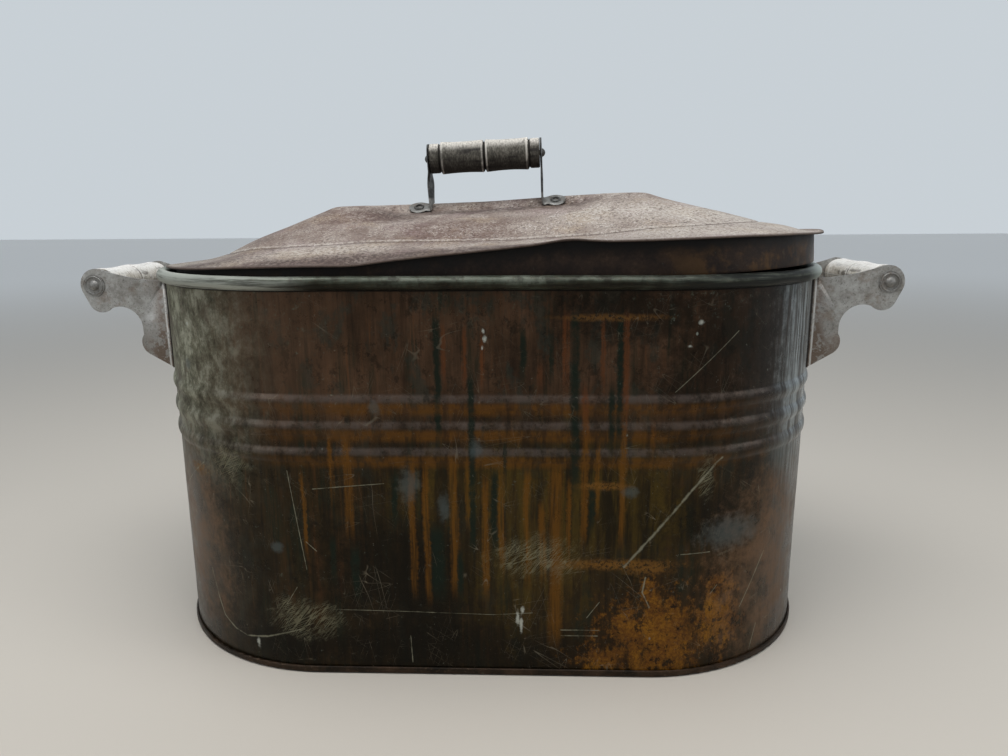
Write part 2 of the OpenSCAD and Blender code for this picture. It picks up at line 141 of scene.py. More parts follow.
def columns(start, end, step):
    """Arc lengths from start to end that fall on the ends of the straight runs."""
    stops = [-HALF_RUN - ARC, -HALF_RUN, HALF_RUN, HALF_RUN + ARC]
    stops += [2 * ROUND + s for s in stops[:2]]
    marks = sorted({start, end, *[s for s in stops if start < s < end]})
    found = []
    for a, b in zip(marks, marks[1:]):
        count = max(1, round((b - a) / step))
        found += [a + (b - a) * i / count for i in range(count)]
    return found + [end]


def sweep(us, section):
    """Points of a section (radius, height) carried along the oval, as an array of [u, section, xyz]."""
    section = np.asarray(section, float)
    rows = []
    for u in us:
        cx, nx, ny = round_oval(u)
        r, z = section[:, 0], section[:, 1]
        rows.append(np.stack([cx + r * nx, r * ny, z], -1))
    return np.array(rows)


def grid_faces(n, m, wrap_n=False, wrap_m=False):
    """Quads of an n by m grid of points."""
    found = []
    for i in range(n if wrap_n else n - 1):
        for j in range(m if wrap_m else m - 1):
            a, b = i * m + j, i * m + (j + 1) % m
            c, d = ((i + 1) % n) * m + (j + 1) % m, ((i + 1) % n) * m + j
            found.append((a, b, c, d))
    return found


def capped_faces(rings, count):
    """Faces of a row of rings of count points each, closed at both ends."""
    last = (rings - 1) * count
    caps = [tuple(range(count - 1, -1, -1)), tuple(last + i for i in range(count))]
    return grid_faces(rings, count, wrap_m=True) + caps


def make_mesh(name, points, faces, material, weld=0.0, crease_deg=40):
    """A smooth-shaded object from points in millimetres. Its normals are turned outwards."""
    mesh = bpy.data.meshes.new(name)
    mesh.from_pydata([tuple(p) for p in np.asarray(points, float).reshape(-1, 3) * MM], [], faces)
    shape = bmesh.new()
    shape.from_mesh(mesh)
    if weld:
        bmesh.ops.remove_doubles(shape, verts=shape.verts, dist=weld * MM)
    bmesh.ops.recalc_face_normals(shape, faces=shape.faces)
    for edge in shape.edges:
        edge.smooth = len(edge.link_faces) < 2 or edge.calc_face_angle(0) < math.radians(crease_deg)
    for face in shape.faces:
        face.smooth = True
    shape.to_mesh(mesh)
    shape.free()
    mesh.materials.append(material)
    piece = bpy.data.objects.new(name, mesh)
    bpy.context.scene.collection.objects.link(piece)
    return piece


def rings(along, radius, turns):
    """Points of circles about X, as [circle, turn, xyz]."""
    return np.stack([np.repeat(along[:, None], len(turns), 1), radius[:, None] * np.cos(turns),
                     radius[:, None] * np.sin(turns)], -1)


def add_attribute(piece, name, values):
    """Keeps a number or a vector at each vertex for the material."""
    values = np.asarray(values, np.float32)
    kind = "FLOAT" if values.ndim == 1 else "FLOAT_VECTOR"
    layer = piece.data.attributes.new(name, kind, "POINT")
    layer.data.foreach_set("value" if values.ndim == 1 else "vector", values.ravel())


def dress(piece, node, body="lid"):
    """Puts a piece on a body, in the place of a node of the solid part."""
    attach(piece, body)
    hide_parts(node)


def thicken(line, thickness):
    """A closed outline at half the thickness to each side of an open line of (radius, height)."""
    line = np.asarray(line, float)
    along = np.gradient(line, axis=0)
    along /= np.linalg.norm(along, axis=1)[:, None]
    out = np.stack([along[:, 1], -along[:, 0]], -1) * thickness / 2
    return np.concatenate([line + out, (line - out)[::-1]])


# ---- node helpers ----

class Nodes:
    """A node tree being wired, with short ways to add the nodes that it uses."""

    def __init__(self, tree):
        self.tree = tree

    def add(self, kind, inputs=None, **settings):
        node = self.tree.nodes.new(kind)
        for key, value in settings.items():
            setattr(node, key, value)
        for key, value in (inputs or {}).items():
            self.put(node.inputs[key], value)
        return node

    def put(self, socket, value):
        if isinstance(value, bpy.types.NodeSocket):
            self.tree.links.new(value, socket)
        elif hasattr(value, "__len__") and socket.type == "RGBA":
            socket.default_value = (*value[:3], 1)
        else:
            socket.default_value = value

    def math(self, operation, a, b=0.0):
        return self.add("ShaderNodeMath", {0: a, 1: b}, operation=operation).outputs[0]

    def times(self, a, b):
        return self.math("MULTIPLY", a, b)

    def plus(self, a, b):
        return self.math("ADD", a, b)

    def minus(self, a, b):
        return self.math("SUBTRACT", a, b)

    def most(self, a, b):
        return self.math("MAXIMUM", a, b)

    def least(self, a, b):
        return self.math("MINIMUM", a, b)

    def apart(self, a, b):
        """The size of the difference of two values."""
        return self.math("ABSOLUTE", self.minus(a, b))

    def sway(self, value, size):
        """A noise turned into a value about zero, of this size."""
        return self.times(self.minus(value, 0.5), size)

    def blend(self, a, share_a, b, share_b):
        return self.plus(self.times(a, share_a), self.times(b, share_b))

    def attribute(self, name, output="Fac"):
        return self.add("ShaderNodeAttribute", attribute_name=name).outputs[output]

    def split(self, vector):
        return self.add("ShaderNodeSeparateXYZ", {0: vector}).outputs

    def join(self, x, y, z):
        return self.add("ShaderNodeCombineXYZ", {0: x, 1: y, 2: z}).outputs[0]

    def stretch(self, vector, scale, shift=(0, 0, 0)):
        inputs = {"Vector": vector, "Scale": scale, "Location": shift}
        return self.add("ShaderNodeMapping", inputs).outputs[0]

    def noise(self, vector, scale, detail=4, rough=0.55, distort=0.0):
        inputs = {"Vector": vector, "Scale": scale, "Detail": detail, "Roughness": rough,
                  "Distortion": distort}
        return self.add("ShaderNodeTexNoise", inputs).outputs["Fac"]

    def cells(self, vector, scale):
        """Distance from the nearest of many scattered points."""
        return self.add("ShaderNodeTexVoronoi", {"Vector": vector, "Scale": scale}).outputs["Distance"]

    def level(self, value, low, high, out_low=0.0, out_high=1.0):
        """Maps low..high smoothly to out_low..out_high, held outside."""
        inputs = {"Value": value, "From Min": low, "From Max": high, "To Min": out_low, "To Max": out_high}
        return self.add("ShaderNodeMapRange", inputs, interpolation_type="SMOOTHSTEP",
                        clamp=False).outputs[0]

    def mix(self, factor, a, b):
        """From colour a at 0 to colour b at 1. A mixing node's colours are its sockets 6 and 7."""
        return self.add("ShaderNodeMix", {0: factor, 6: a, 7: b}, data_type="RGBA").outputs[2]

    def over(self, colour, tint, share, more=None):
        """A colour with a tint laid over a share of it. more is a second share, of the first."""
        return self.mix(share if more is None else self.times(share, more), colour, tint)

    def ramp(self, value, stops):
        node = self.add("ShaderNodeValToRGB", {"Fac": value})
        points = node.color_ramp.elements
        while len(points) < len(stops):
            points.new(0.5)
        for point, (place, colour) in zip(points, stops):
            point.position = place
            point.color = (*colour, 1)
        return node.outputs["Color"]

    def vector(self, operation, a, b=(0, 0, 0), output=0):
        return self.add("ShaderNodeVectorMath", {0: a, 1: b}, operation=operation).outputs[output]

    def use(self, group, *values):
        """The value that a node group gives for these inputs."""
        node = self.add("ShaderNodeGroup", node_tree=group)
        for socket, value in zip(node.inputs, values):
            self.put(socket, value)
        return node.outputs[0]

    def hairs(self, place, angles, length, apart, width):
        """Thin straight marks in a few directions, length and apart in millimetres, width as a share."""
        total = 0.0
        for seed, angle in enumerate(angles):
            turned = self.add("ShaderNodeVectorRotate", {"Vector": place, "Angle": math.radians(-angle)},
                              rotation_type="Z_AXIS").outputs[0]
            waves = self.stretch(turned, (1 / length, 1 / apart, 1), (7.3 * seed, 0, 2.1 * seed))
            off = self.apart(self.noise(waves, 1.0, 0, 0.5), 0.5)
            total = self.most(total, self.level(off, width, width * 0.25))
        return total

    def bump(self, height, distance, strength):
        inputs = {"Height": height, "Distance": distance, "Strength": strength}
        return self.add("ShaderNodeBump", inputs).outputs["Normal"]


class Shader(Nodes):
    """A material being wired, with its colour so far."""

    def __init__(self, name):
        self.material = bpy.data.materials.new(name)
        self.material.use_nodes = True
        super().__init__(self.material.node_tree)
        self.tree.nodes.clear()
        self.where = self.add("ShaderNodeTexCoord").outputs["Object"]
        self.colour = (0.5, 0.5, 0.5)

    def patches(self, scale, detail, rough, stretch=(1, 1, 1), shift=(0, 0, 0)):
        """Noise by place on the object, its pattern stretched and shifted where that is asked for."""
        place = self.where
        if stretch != (1, 1, 1) or shift != (0, 0, 0):
            place = self.stretch(place, stretch, shift)
        return self.noise(place, scale, detail, rough)

    def paint(self, tint, share, more=None):
        """Lays a tint over a share of the colour so far."""
        self.colour = self.over(self.colour, tint, share, more)

    def from_run(self, x, y, half_run):
        """Distance from the line between the centres of the oval's two ends."""
        end = self.most(self.minus(self.math("ABSOLUTE", x), half_run), 0.0)
        return self.vector("LENGTH", self.join(end, y, 0.0), output="Value")

    def finish(self, roughness, metallic=0.0, normal=None, specular=0.5):
        inputs = {"Base Color": self.colour, "Roughness": roughness, "Metallic": metallic,
                  "Specular IOR Level": specular}
        shader = self.add("ShaderNodeBsdfPrincipled", inputs)
        if normal is not None:
            self.put(shader.inputs["Normal"], normal)
        self.add("ShaderNodeOutputMaterial", {"Surface": shader.outputs[0]})
        return self.material


def make_group(name, sockets, build):
    """A node group for a step that repeats. build is given its inputs and returns its value."""
    nodes = Nodes(bpy.data.node_groups.new(name, "ShaderNodeTree"))
    for socket in sockets:
        kind = "NodeSocketVector" if socket.startswith("place") else "NodeSocketFloat"
        nodes.tree.interface.new_socket(socket, in_out="INPUT", socket_type=kind)
    nodes.tree.interface.new_socket("value", in_out="OUTPUT", socket_type="NodeSocketFloat")
    entry = nodes.add("NodeGroupInput")
    nodes.add("NodeGroupOutput", {0: build(nodes, *entry.outputs[:len(sockets)])})
    return nodes.tree


def drip_group():
    """A straight drip, narrow at its foot, added to the drips so far."""
    def build(s, so_far, u, z, middle, half, top, foot):
        off = s.math("DIVIDE", s.apart(u, middle), half)
        from_foot = s.level(s.minus(z, foot), 0, 30)
        from_top = s.level(s.minus(top, z), -6, 10)
        mask = s.times(s.level(off, 1.25, 0.35), s.times(from_foot, from_top))
        return s.most(so_far, mask)
    return make_group("drip", ("so_far", "u", "z", "middle", "half", "top", "foot"), build)


def blot_group():
    """A soft oval mark with a ragged border, added to the marks so far."""
    def build(s, so_far, place, place_middle, place_scale, ragged, edge):
        offset = s.vector("MULTIPLY", s.vector("SUBTRACT", place, place_middle), place_scale)
        away = s.plus(s.vector("LENGTH", offset, output="Value"), ragged)
        inside = s.math("DIVIDE", s.minus(1.0, away), edge)
        return s.most(so_far, s.level(inside, -1, 1))
    return make_group("blot", ("so_far", "place", "place_middle", "place_scale", "ragged", "edge"), build)


def segment_group():
    """The nearer of a distance so far and the distance from a straight line."""
    def build(s, so_far, place, place_start, place_along, place_scale):
        offset = s.vector("SUBTRACT", place, place_start)
        share = s.vector("DOT_PRODUCT", offset, place_scale, output="Value")
        share = s.least(s.most(share, 0.0), 1.0)
        foot = s.vector("MULTIPLY", place_along, s.join(share, share, share))
        return s.least(so_far, s.vector("DISTANCE", offset, foot, output="Value"))
    return make_group("segment", ("so_far", "place", "place_start", "place_along", "place_scale"), build)


DRIP, BLOT, SEGMENT = drip_group(), blot_group(), segment_group()


# ---- copper ----

# Drips down the front of the wall: arc length, half width, top and bottom
RUST_DRIPS = ((-116, 2, 205, 140), (-103, 4, 205, 112), (-53, 3, 188, 62), (-42, 3, 182, 56),
              (-20, 4, 190, 62), (-9, 2, 180, 120), (5, 3, 172, 60), (18, 3, 180, 84), (38, 3, 178, 70),
              (60, 6, 182, 18), (82, 3, 245, 105), (112, 3, 300, 105), (92, 2, 200, 130),
              (50, 3, 150, 75), (70, 2, 170, 90), (-25, 2, 292, 235), (-10, 2, 290, 232),
              (4, 2, 285, 235), (22, 4, 250, 234), (48, 3, 262, 234), (67, 3, 300, 232),
              (95, 2, 296, 232), (-140, 2, 175, 95), (135, 2, 215, 185))
DARK_DRIPS = ((-30, 3, 302, 188), (-5, 3, 255, 96), (12, 3, 178, 98), (20, 2, 202, 158),
              (74, 4, 302, 150), (-100, 4, 112, 56), (-34, 7, 132, 56), (102, 3, 246, 180),
              (108, 3, 300, 185), (34, 3, 290, 236), (-118, 3, 120, 70), (-66, 3, 176, 120),
              (88, 3, 168, 116), (-16, 3, 110, 55), (56, 2, 288, 238))
BACK_SHIFT = 44              # how far the back's stains are moved along
# Long marks: half width, then points (arc length, height)
SCRATCHES = ((1.5, (190, 186), (168, 162), (150, 140), (132, 118), (115, 97)),
             (1.0, (-246, 74), (-238, 50), (-230, 35), (-216, 27), (-202, 24), (-180, 28), (-150, 38)),
             (0.5, (-152, 176), (-141, 92)), (0.6, (-280, 145), (-262, 158), (-240, 172)),
             (0.5, (-140, 116), (-132, 108)), (0.35, (-123, 57), (-60, 56), (10, 54), (42, 56)),
             (0.6, (65, 36), (95, 36)), (0.6, (65, 41), (96, 41)), (0.9, (132, 88), (130, 75), (136, 62)),
             (0.6, (187, 70), (193, 77)), (0.8, (233, 10), (240, 30)), (0.8, (218, 52), (245, 95)),
             (0.5, (-57, 10), (-58, 34)), (0.4, (86, 52), (96, 66)), (0.4, (150, 240), (200, 285)),
             (0.5, (160, 107), (185, 107)), (0.5, (-132, 161), (-75, 166)), (0.4, (-160, 60), (-150, 76)))
# Pale scuffs and cold grey smudges: arc length, height, half sizes
SCUFFS = ((-145, 47, 22, 12), (-208, 178, 14, 12), (-135, 55, 12, 6), (45, 105, 26, 14), (-163, 60, 6, 6),
          (178, 170, 5, 14))
SMUDGES = ((-55, 165, 7, 12), (-28, 147, 4, 10), (-165, 110, 5, 4), (-80, 227, 4, 6), (-2, 195, 4, 7),
           (205, 121, 24, 12), (-253, 254, 5, 4), (118, 160, 6, 4), (262, 178, 16, 14))
SCARS = ((106, 99, 44, 4), (97, 165, 16, 3), (100, 297, 34, 2.5), (-248, 165, 14, 5), (134, 96, 16, 5))
WHITE_SPECKS = ((5, 287, 0.9, 1.6), (6, 281, 1.1, 2), (4, 274, 0.8, 1.5), (30, 52, 1.2, 5),
                (33, 46, 1, 6), (-190, 20, 1.5, 4), (168, 293, 1.6, 1.8), (160, 275, 1.8, 1),
                (34, 58, 1.2, 2.5), (-247, 288, 1.4, 1.2))


def drips(s, u, z, rows):
    """How much of any drip there is at an arc length and a height."""
    total = 0.0
    for row in rows:
        total = s.use(DRIP, total, u, z, *row)
    return total


def blots(s, place, rows, ragged, edge=0.35):
    """How much of any soft oval mark there is. place is (arc length, height, 0)."""
    total = 0.0
    for middle, height, half_u, half_z in rows:
        total = s.use(BLOT, total, place, (middle, height, 0), (1 / half_u, 1 / half_z, 0), ragged, edge)
    return total


def strokes(s, place, rows, ragged):
    """How much of any long mark there is. The first number of a row is its half width."""
    total = 0.0
    for half, *points in rows:
        nearest = 1000.0
        for start, end in zip(points, points[1:]):
            start, along = Vector((*start, 0)), Vector((*end, 0)) - Vector((*start, 0))
            nearest = s.use(SEGMENT, nearest, place, start, along, along / along.length_squared)
        edge = s.times(ragged, half)
        total = s.most(total, s.level(s.minus(nearest, edge), half, 0.0))
    return total


def copper_material():
    """The walls and the rim. "sheet" holds arc length, height in metres, and 1 on the inner face."""
    s = Shader("old_copper")
    u, z, inner = s.split(s.attribute("sheet", "Vector"))
    u, z = s.times(u, 1 / MM), s.times(z, 1 / MM)
    # The back has the front's stains, moved along by a few centimetres, and no long scratches
    back = s.math("GREATER_THAN", u, HALF_RUN + ARC / 2)
    stain_u = s.minus(u, s.times(back, ROUND + BACK_SHIFT))
    place = s.join(u, z, 0.0)
    stains = s.join(stain_u, z, 0.0)
    height = s.join(0.0, z, 0.0)
    streak = s.patches(420, 4, 0.65, stretch=(1, 1, 0.04))
    wide_streak = s.patches(130, 5, 0.65, stretch=(1, 1, 0.10))
    broad = s.patches(11, 4, 0.6)
    cloud = s.patches(38, 6, 0.65)
    grain = s.patches(420, 4, 0.7)
    ragged = s.sway(s.patches(150, 5, 0.7), 2.4)
    wobble = s.sway(s.patches(22, 3, 0.5), 5.0)
    jitter = s.sway(s.patches(320, 3, 0.6), 4.0)
    drip_u = s.plus(stain_u, s.plus(wobble, jitter))

    # Brown oxide, redder above the beads and darker below them
    tone = s.blend(broad, 0.4, wide_streak, 0.35)
    tone = s.plus(tone, s.times(cloud, 0.25))
    low_tone = s.ramp(tone, [(0.34, (0.006, 0.005, 0.0035)), (0.46, (0.016, 0.011, 0.005)),
                             (0.56, (0.032, 0.020, 0.008)), (0.70, (0.058, 0.027, 0.012))])
    high_tone = s.ramp(tone, [(0.34, (0.011, 0.007, 0.0045)), (0.46, (0.052, 0.029, 0.016)),
                              (0.57, (0.088, 0.048, 0.027)), (0.70, (0.125, 0.074, 0.044))])
    s.colour = s.mix(s.level(z, 175, 250), low_tone, high_tone)
    s.paint((0.012, 0.009, 0.006), s.level(streak, 0.50, 0.34), s.level(z, 170, 250, 0.65, 0.34))
    red_runs = s.times(s.level(streak, 0.55, 0.66), s.level(wide_streak, 0.40, 0.60))
    s.paint((0.110, 0.044, 0.016), red_runs, s.level(z, 90, 240, 0.25, 0.45))
    mottle = s.patches(75, 6, 0.78, stretch=(1, 1, 0.75), shift=(1.9, 0.3, 0))
    teal = s.level(s.patches(44, 5, 0.72, stretch=(1, 1, 0.55), shift=(4.1, 0.2, 0)), 0.51, 0.62)
    s.paint((0.026, 0.034, 0.027), teal, s.level(z, 150, 250, 0.20, 0.55))
    s.paint((0.010, 0.008, 0.005), s.level(mottle, 0.46, 0.36), 0.6)
    green = s.level(s.patches(60, 4, 0.6, stretch=(1, 1, 0.2), shift=(0.3, 0.9, 0)), 0.52, 0.66)
    s.paint((0.014, 0.020, 0.012), s.times(green, s.level(streak, 0.62, 0.42)), 0.6)
    paler = s.times(s.level(stain_u, -80, -190), s.level(z, 200, 250))
    s.paint((0.110, 0.072, 0.047), paler, 0.35)

    # Dark pools
    pools = blots(s, stains, ((-72, 92, 62, 46), (-35, 25, 90, 26), (150, 140, 60, 26), (30, 20, 60, 20),
                             (196, 280, 50, 60), (178, 245, 44, 24), (120, 300, 60, 22), (-150, 25, 60, 18),
                             (165, 205, 54, 7)), ragged, 0.6)
    s.paint((0.006, 0.005, 0.003), pools, 0.74)

    # Olive haze below the beads, a painted orange reflection on their under sides and a painted highlight
    # on their tops
    haze = blots(s, stains, ((44, 125, 46, 70), (8, 160, 60, 30), (96, 150, 60, 50)), ragged, 0.7)
    s.paint((0.070, 0.045, 0.008), haze, s.level(wide_streak, 0.38, 0.62, 0.1, 0.8))
    # Painted reflection: orange on the under side of each bead
    under = blots(s, height, [(0, middle - 5.0, 1, 4.6) for middle in BEAD_Z], s.times(ragged, 0.4), 0.6)
    reach = s.level(s.apart(stain_u, 20), 240, 80, 0.15, 1.0)
    under = s.times(s.times(under, reach), s.level(wide_streak, 0.38, 0.58, 0.3, 1.0))
    s.paint((0.115, 0.048, 0.007), under, 0.8)
    # Painted highlight: a pale band on the top of each bead
    bead_top_highlights = blots(s, height, [(0, middle + 3.5, 1, 2.8) for middle in BEAD_Z], s.times(ragged, 0.3), 0.6)
    s.paint((0.112, 0.086, 0.072), bead_top_highlights, s.level(mottle, 0.38, 0.58, 0.15, 0.6))

    # Drips
    broken = s.level(streak, 0.36, 0.54, 0.3, 1.0)
    rust_drips = s.times(drips(s, drip_u, z, RUST_DRIPS), broken)
    drip_colour = s.mix(s.level(z, 190, 235), (0.140, 0.058, 0.007), (0.120, 0.040, 0.013))
    s.paint(drip_colour, rust_drips, 0.72)
    dark_drips = s.times(drips(s, drip_u, z, DARK_DRIPS), s.level(cloud, 0.35, 0.5, 0.5, 1.0))
    s.paint((0.008, 0.015, 0.010), dark_drips, 0.9)

    # Rust low on the right, smeared upwards and pitted black
    rust_area = blots(s, stains, ((150, 34, 62, 36), (118, 14, 50, 14), (196, 58, 20, 30),
                                  (140, 74, 12, 18)), ragged, 0.7)
    smear = s.patches(62, 8, 0.78, stretch=(1, 1, 0.45))
    rust_spots = s.level(s.plus(smear, s.times(rust_area, 0.22)), 0.57, 0.74)
    pits = s.level(s.patches(120, 5, 0.75), 0.47, 0.38)
    rust_spots = s.times(s.times(rust_spots, s.level(rust_area, 0, 0.5)), s.minus(1.0, pits))
    rust_tone = s.blend(cloud, 0.5, grain, 0.5)
    rust_colour = s.ramp(rust_tone, [(0.38, (0.064, 0.021, 0.003)), (0.50, (0.145, 0.056, 0.004)),
                                     (0.62, (0.250, 0.108, 0.008))])
    s.paint((0.034, 0.016, 0.005), rust_area, 0.45)
    s.paint(rust_colour, rust_spots, 0.9)
    scars = s.times(blots(s, stains, SCARS, s.times(ragged, 0.7), 0.7), s.level(grain, 0.36, 0.54))
    s.paint((0.165, 0.072, 0.010), scars, s.level(z, 180, 260, 0.8, 0.5))

    # Grey-green patina with a painted pale reflection on the left end, a painted blue-grey reflection on
    # the right one
    frayed_u = s.plus(u, s.times(ragged, 20))
    left = s.most(s.level(frayed_u, -150, -262), s.level(frayed_u, 1010, 1110))
    left = s.times(left, s.level(z, 130, 245, 0.05, 1.0))
    # Patina and painted reflection together on the left end
    patina_and_reflection = s.ramp(mottle, [(0.36, (0.050, 0.048, 0.030)), (0.48, (0.150, 0.150, 0.104)),
                             (0.60, (0.350, 0.355, 0.275))])
    s.paint(patina_and_reflection, left, s.level(cloud, 0.34, 0.50, 0.4, 0.95))
    slate = s.times(s.level(frayed_u, 190, 245), s.level(frayed_u, 560, 440))
    slate = s.times(slate, s.level(z, 150, 240, 0.0, 0.7))
    s.paint((0.024, 0.025, 0.025), slate)
    # Painted reflection: a streaked blue-grey sheen high on the right end
    reflection_streaks = s.noise(s.stretch(place, (0.19, 0.011, 1)), 1.0, 5, 0.72)
    right = s.times(s.level(frayed_u, 232, 288), s.level(frayed_u, 430, 320))
    right = s.times(right, s.level(z, 120, 225, 0.15, 1.0))
    s.paint((0.360, 0.405, 0.420), right, s.level(reflection_streaks, 0.42, 0.60, 0.12, 1.0))
    # Painted reflection: a pinkish sheen low on both ends
    pink_reflection = blots(s, stains, ((258, 80, 54, 76), (-262, 100, 40, 70)), ragged, 0.7)
    s.paint((0.175, 0.100, 0.055), pink_reflection, s.level(cloud, 0.36, 0.60, 0.15, 0.7))
    cold = blots(s, stains, SMUDGES, s.times(ragged, 0.9), 0.6)
    s.paint((0.085, 0.105, 0.105), cold, 0.5)

    # Verdigris specks, scuffs, scratches and painted glints
    flecks = s.plus(s.patches(170, 5, 0.78), s.level(z, 262, 312, 0.0, 0.05))
    islands = s.times(s.level(flecks, 0.62, 0.73), s.level(broad, 0.42, 0.58))
    s.paint((0.105, 0.130, 0.098), islands, 0.5)
    dots = s.level(s.cells(s.stretch(s.where, (1, 1, 0.7)), 75), 0.09, 0.04)
    dots = s.times(dots, s.level(s.patches(30, 3, 0.6), 0.55, 0.63))
    s.paint((0.250, 0.280, 0.240), dots, 0.8)
    rubbed = s.most(s.hairs(place, (24, 52), 30, 1.6, 0.07), s.level(grain, 0.60, 0.68))
    scuffs = s.times(blots(s, place, SCUFFS, s.times(ragged, 1.3), 0.8), rubbed)
    s.paint((0.205, 0.195, 0.125), scuffs, 0.62)
    lines = s.hairs(place, (68, -35, 12, -78), 160, 9, 0.004)
    lines = s.times(lines, s.level(s.patches(34, 3, 0.6), 0.50, 0.60))
    s.paint((0.190, 0.165, 0.120), lines, s.level(z, 150, 250, 0.5, 0.3))
    # Painted glints: small pale highlights
    glints = s.level(s.patches(300, 4, 0.8, stretch=(1, 1, 0.8), shift=(2.7, 0, 1.1)), 0.64, 0.72)
    s.paint((0.200, 0.205, 0.165), s.times(glints, s.level(mottle, 0.42, 0.56)), 0.55)
    long_lines = strokes(s, place, SCRATCHES, s.times(ragged, 0.9))
    long_lines = s.times(long_lines, s.level(cloud, 0.36, 0.50, 0.3, 1.0))
    s.paint((0.240, 0.235, 0.170), long_lines, 0.75)
    specks = blots(s, place, WHITE_SPECKS, s.times(ragged, 1.5), 0.7)
    s.paint((0.460, 0.480, 0.430), specks, 0.8)

    # The rolled rim, rubbed and green, with painted shade in the corner below it
    rim = s.level(z, 316.6, 318.0)
    along = s.noise(s.stretch(place, (0.014, 0.30, 1)), 1.0, 5, 0.7)
    rim_tone = s.blend(cloud, 0.5, along, 0.5)
    # Painted highlight and shade: lighter on top of the roll, darker below it
    rim_tone = s.plus(rim_tone, s.level(z, 320.5, 327.5, -0.08, 0.09))
    rim_colour = s.ramp(rim_tone, [(0.38, (0.010, 0.009, 0.005)), (0.46, (0.026, 0.026, 0.017)),
                                   (0.54, (0.052, 0.060, 0.044)), (0.64, (0.118, 0.130, 0.104))])
    rim_colour = s.over(rim_colour, (0.060, 0.034, 0.016), s.level(grain, 0.54, 0.66), 0.4)
    dirt = s.level(s.patches(60, 5, 0.7, shift=(0.7, 2.2, 0)), 0.50, 0.62)
    rim_colour = s.over(rim_colour, (0.016, 0.014, 0.010), dirt, 0.7)
    dark_rim = s.times(s.level(stain_u, 90, 200), s.level(along, 0.62, 0.48, 0.3, 0.92))
    rim_colour = s.over(rim_colour, (0.014, 0.016, 0.015), dark_rim)
    mint = s.times(s.level(u, 268, 312), s.level(u, 470, 380))
    rim_colour = s.over(rim_colour, (0.360, 0.410, 0.380), mint)
    pale_rim = s.times(s.level(u, -115, -185), s.level(u, -350, -290, 0.15, 1.0))
    pale_rim = s.times(pale_rim, s.level(along, 0.36, 0.54, 0.2, 0.9))
    rim_colour = s.over(rim_colour, (0.360, 0.378, 0.335), pale_rim)
    s.paint(rim_colour, rim)
    # Painted shade in the corner under the rim, on the outside
    shade_under_rim = s.level(s.apart(z, 317.8), 1.6, 0.5)
    s.paint((0.005, 0.004, 0.003), shade_under_rim, s.minus(0.92, inner))

    # The inside: tin gone grey, with brown water marks
    tin_tone = s.blend(cloud, 0.6, broad, 0.4)
    tin = s.ramp(tin_tone, [(0.34, (0.075, 0.055, 0.040)), (0.47, (0.160, 0.140, 0.118)),
                            (0.62, (0.255, 0.245, 0.225))])
    tin = s.mix(s.times(s.level(s.plus(z, s.times(wobble, 4)), 120, 30), 0.7), tin, (0.070, 0.044, 0.028))
    within = s.times(inner, s.minus(1.0, rim))
    s.paint(tin, within)

    dull = s.most(s.most(rust_spots, s.times(left, 0.7)), islands)
    dull = s.most(dull, s.most(scars, s.times(rim, 0.35)))
    roughness = s.plus(s.level(cloud, 0.3, 0.7, 0.24, 0.44), s.times(dull, 0.3))
    metallic = s.times(s.minus(1.0, dull), 0.5)
    relief = s.plus(s.patches(45, 3, 0.5), s.times(s.patches(600, 2, 0.6), 0.12))
    return s.finish(roughness, metallic, s.bump(relief, 0.0006, 0.5), 0.16)


def plain_copper_material():
    """The bottom sheet and the small copper parts: dark outside, and grey tin inside the walls."""
    s = Shader("dark_copper")
    x, y, z = s.split(s.where)
    broad = s.patches(14, 4, 0.6)
    cloud = s.patches(60, 6, 0.7)
    grain = s.patches(420, 4, 0.7)
    tone = s.blend(broad, 0.4, cloud, 0.6)
    s.colour = s.ramp(tone, [(0.36, (0.006, 0.005, 0.003)), (0.47, (0.022, 0.014, 0.008)),
                             (0.57, (0.048, 0.028, 0.016)), (0.68, (0.095, 0.062, 0.040))])
    islands = s.level(s.patches(170, 5, 0.78), 0.62, 0.72)
    s.paint((0.120, 0.140, 0.105), islands, 0.5)
    s.paint((0.150, 0.100, 0.062), s.level(grain, 0.56, 0.68), 0.35)
    r = s.from_run(x, y, HALF_RUN * MM)
    within = s.times(s.level(r, (WALL_R - 0.4) * MM, (WALL_R - 1.2) * MM), s.level(z, 0.0003, 0.0006))
    tin = s.ramp(tone, [(0.36, (0.050, 0.034, 0.022)), (0.50, (0.130, 0.108, 0.088)),
                        (0.64, (0.240, 0.228, 0.205))])
    s.paint(tin, within)
    relief = s.blend(cloud, 0.6, grain, 0.2)
    return s.finish(s.level(cloud, 0.3, 0.7, 0.35, 0.6), 0.4, s.bump(relief, 0.0005, 0.4), 0.2)


# ---- lid sheet, iron and wood ----

# Where the ears leave the wall, where their painted highlight and shade line lie, how high rust has spread
# up them, and where the handle's feet end
EAR_BEND_X, EAR_ROOT_SHADE_X, EAR_RUST_X = 284.5 * MM, 283.2 * MM, 300 * MM
EAR_RUST_Z = 285 * MM
FEET_TOP_Z, FEET_SLOPE = 388.5 * MM, 0.0464

# Sooty places and painted shadow of the handle, red places, and pale places with painted glints on the lid:
# x, y, half sizes. A painted highlight along a fold: half width, then points
LID_SOOT_AND_SHADE = ((-150, -152, 44, 9), (-95, -152, 54, 12), (-40, -153, 54, 11), (10, -155, 50, 7),
            (-86, -32, 28, 16), (-30, -22, 54, 11), (30, -18, 60, 9), (60, -14, 26, 14),
            (-230, -120, 40, 20))
LID_RED = ((-34, -90, 40, 26), (-120, -40, 34, 14))
LID_PALE_AND_GLINTS = ((-130, -125, 70, 16), (190, -125, 70, 26), (120, -60, 60, 26), (70, -140, 50, 8),
            (200, -60, 60, 40), (250, -80, 40, 50))
LID_FOLD_HIGHLIGHT = ((1.3, (50, -64), (76, -53), (128, -62), (156, -70), (167, -83), (171, -92)),)


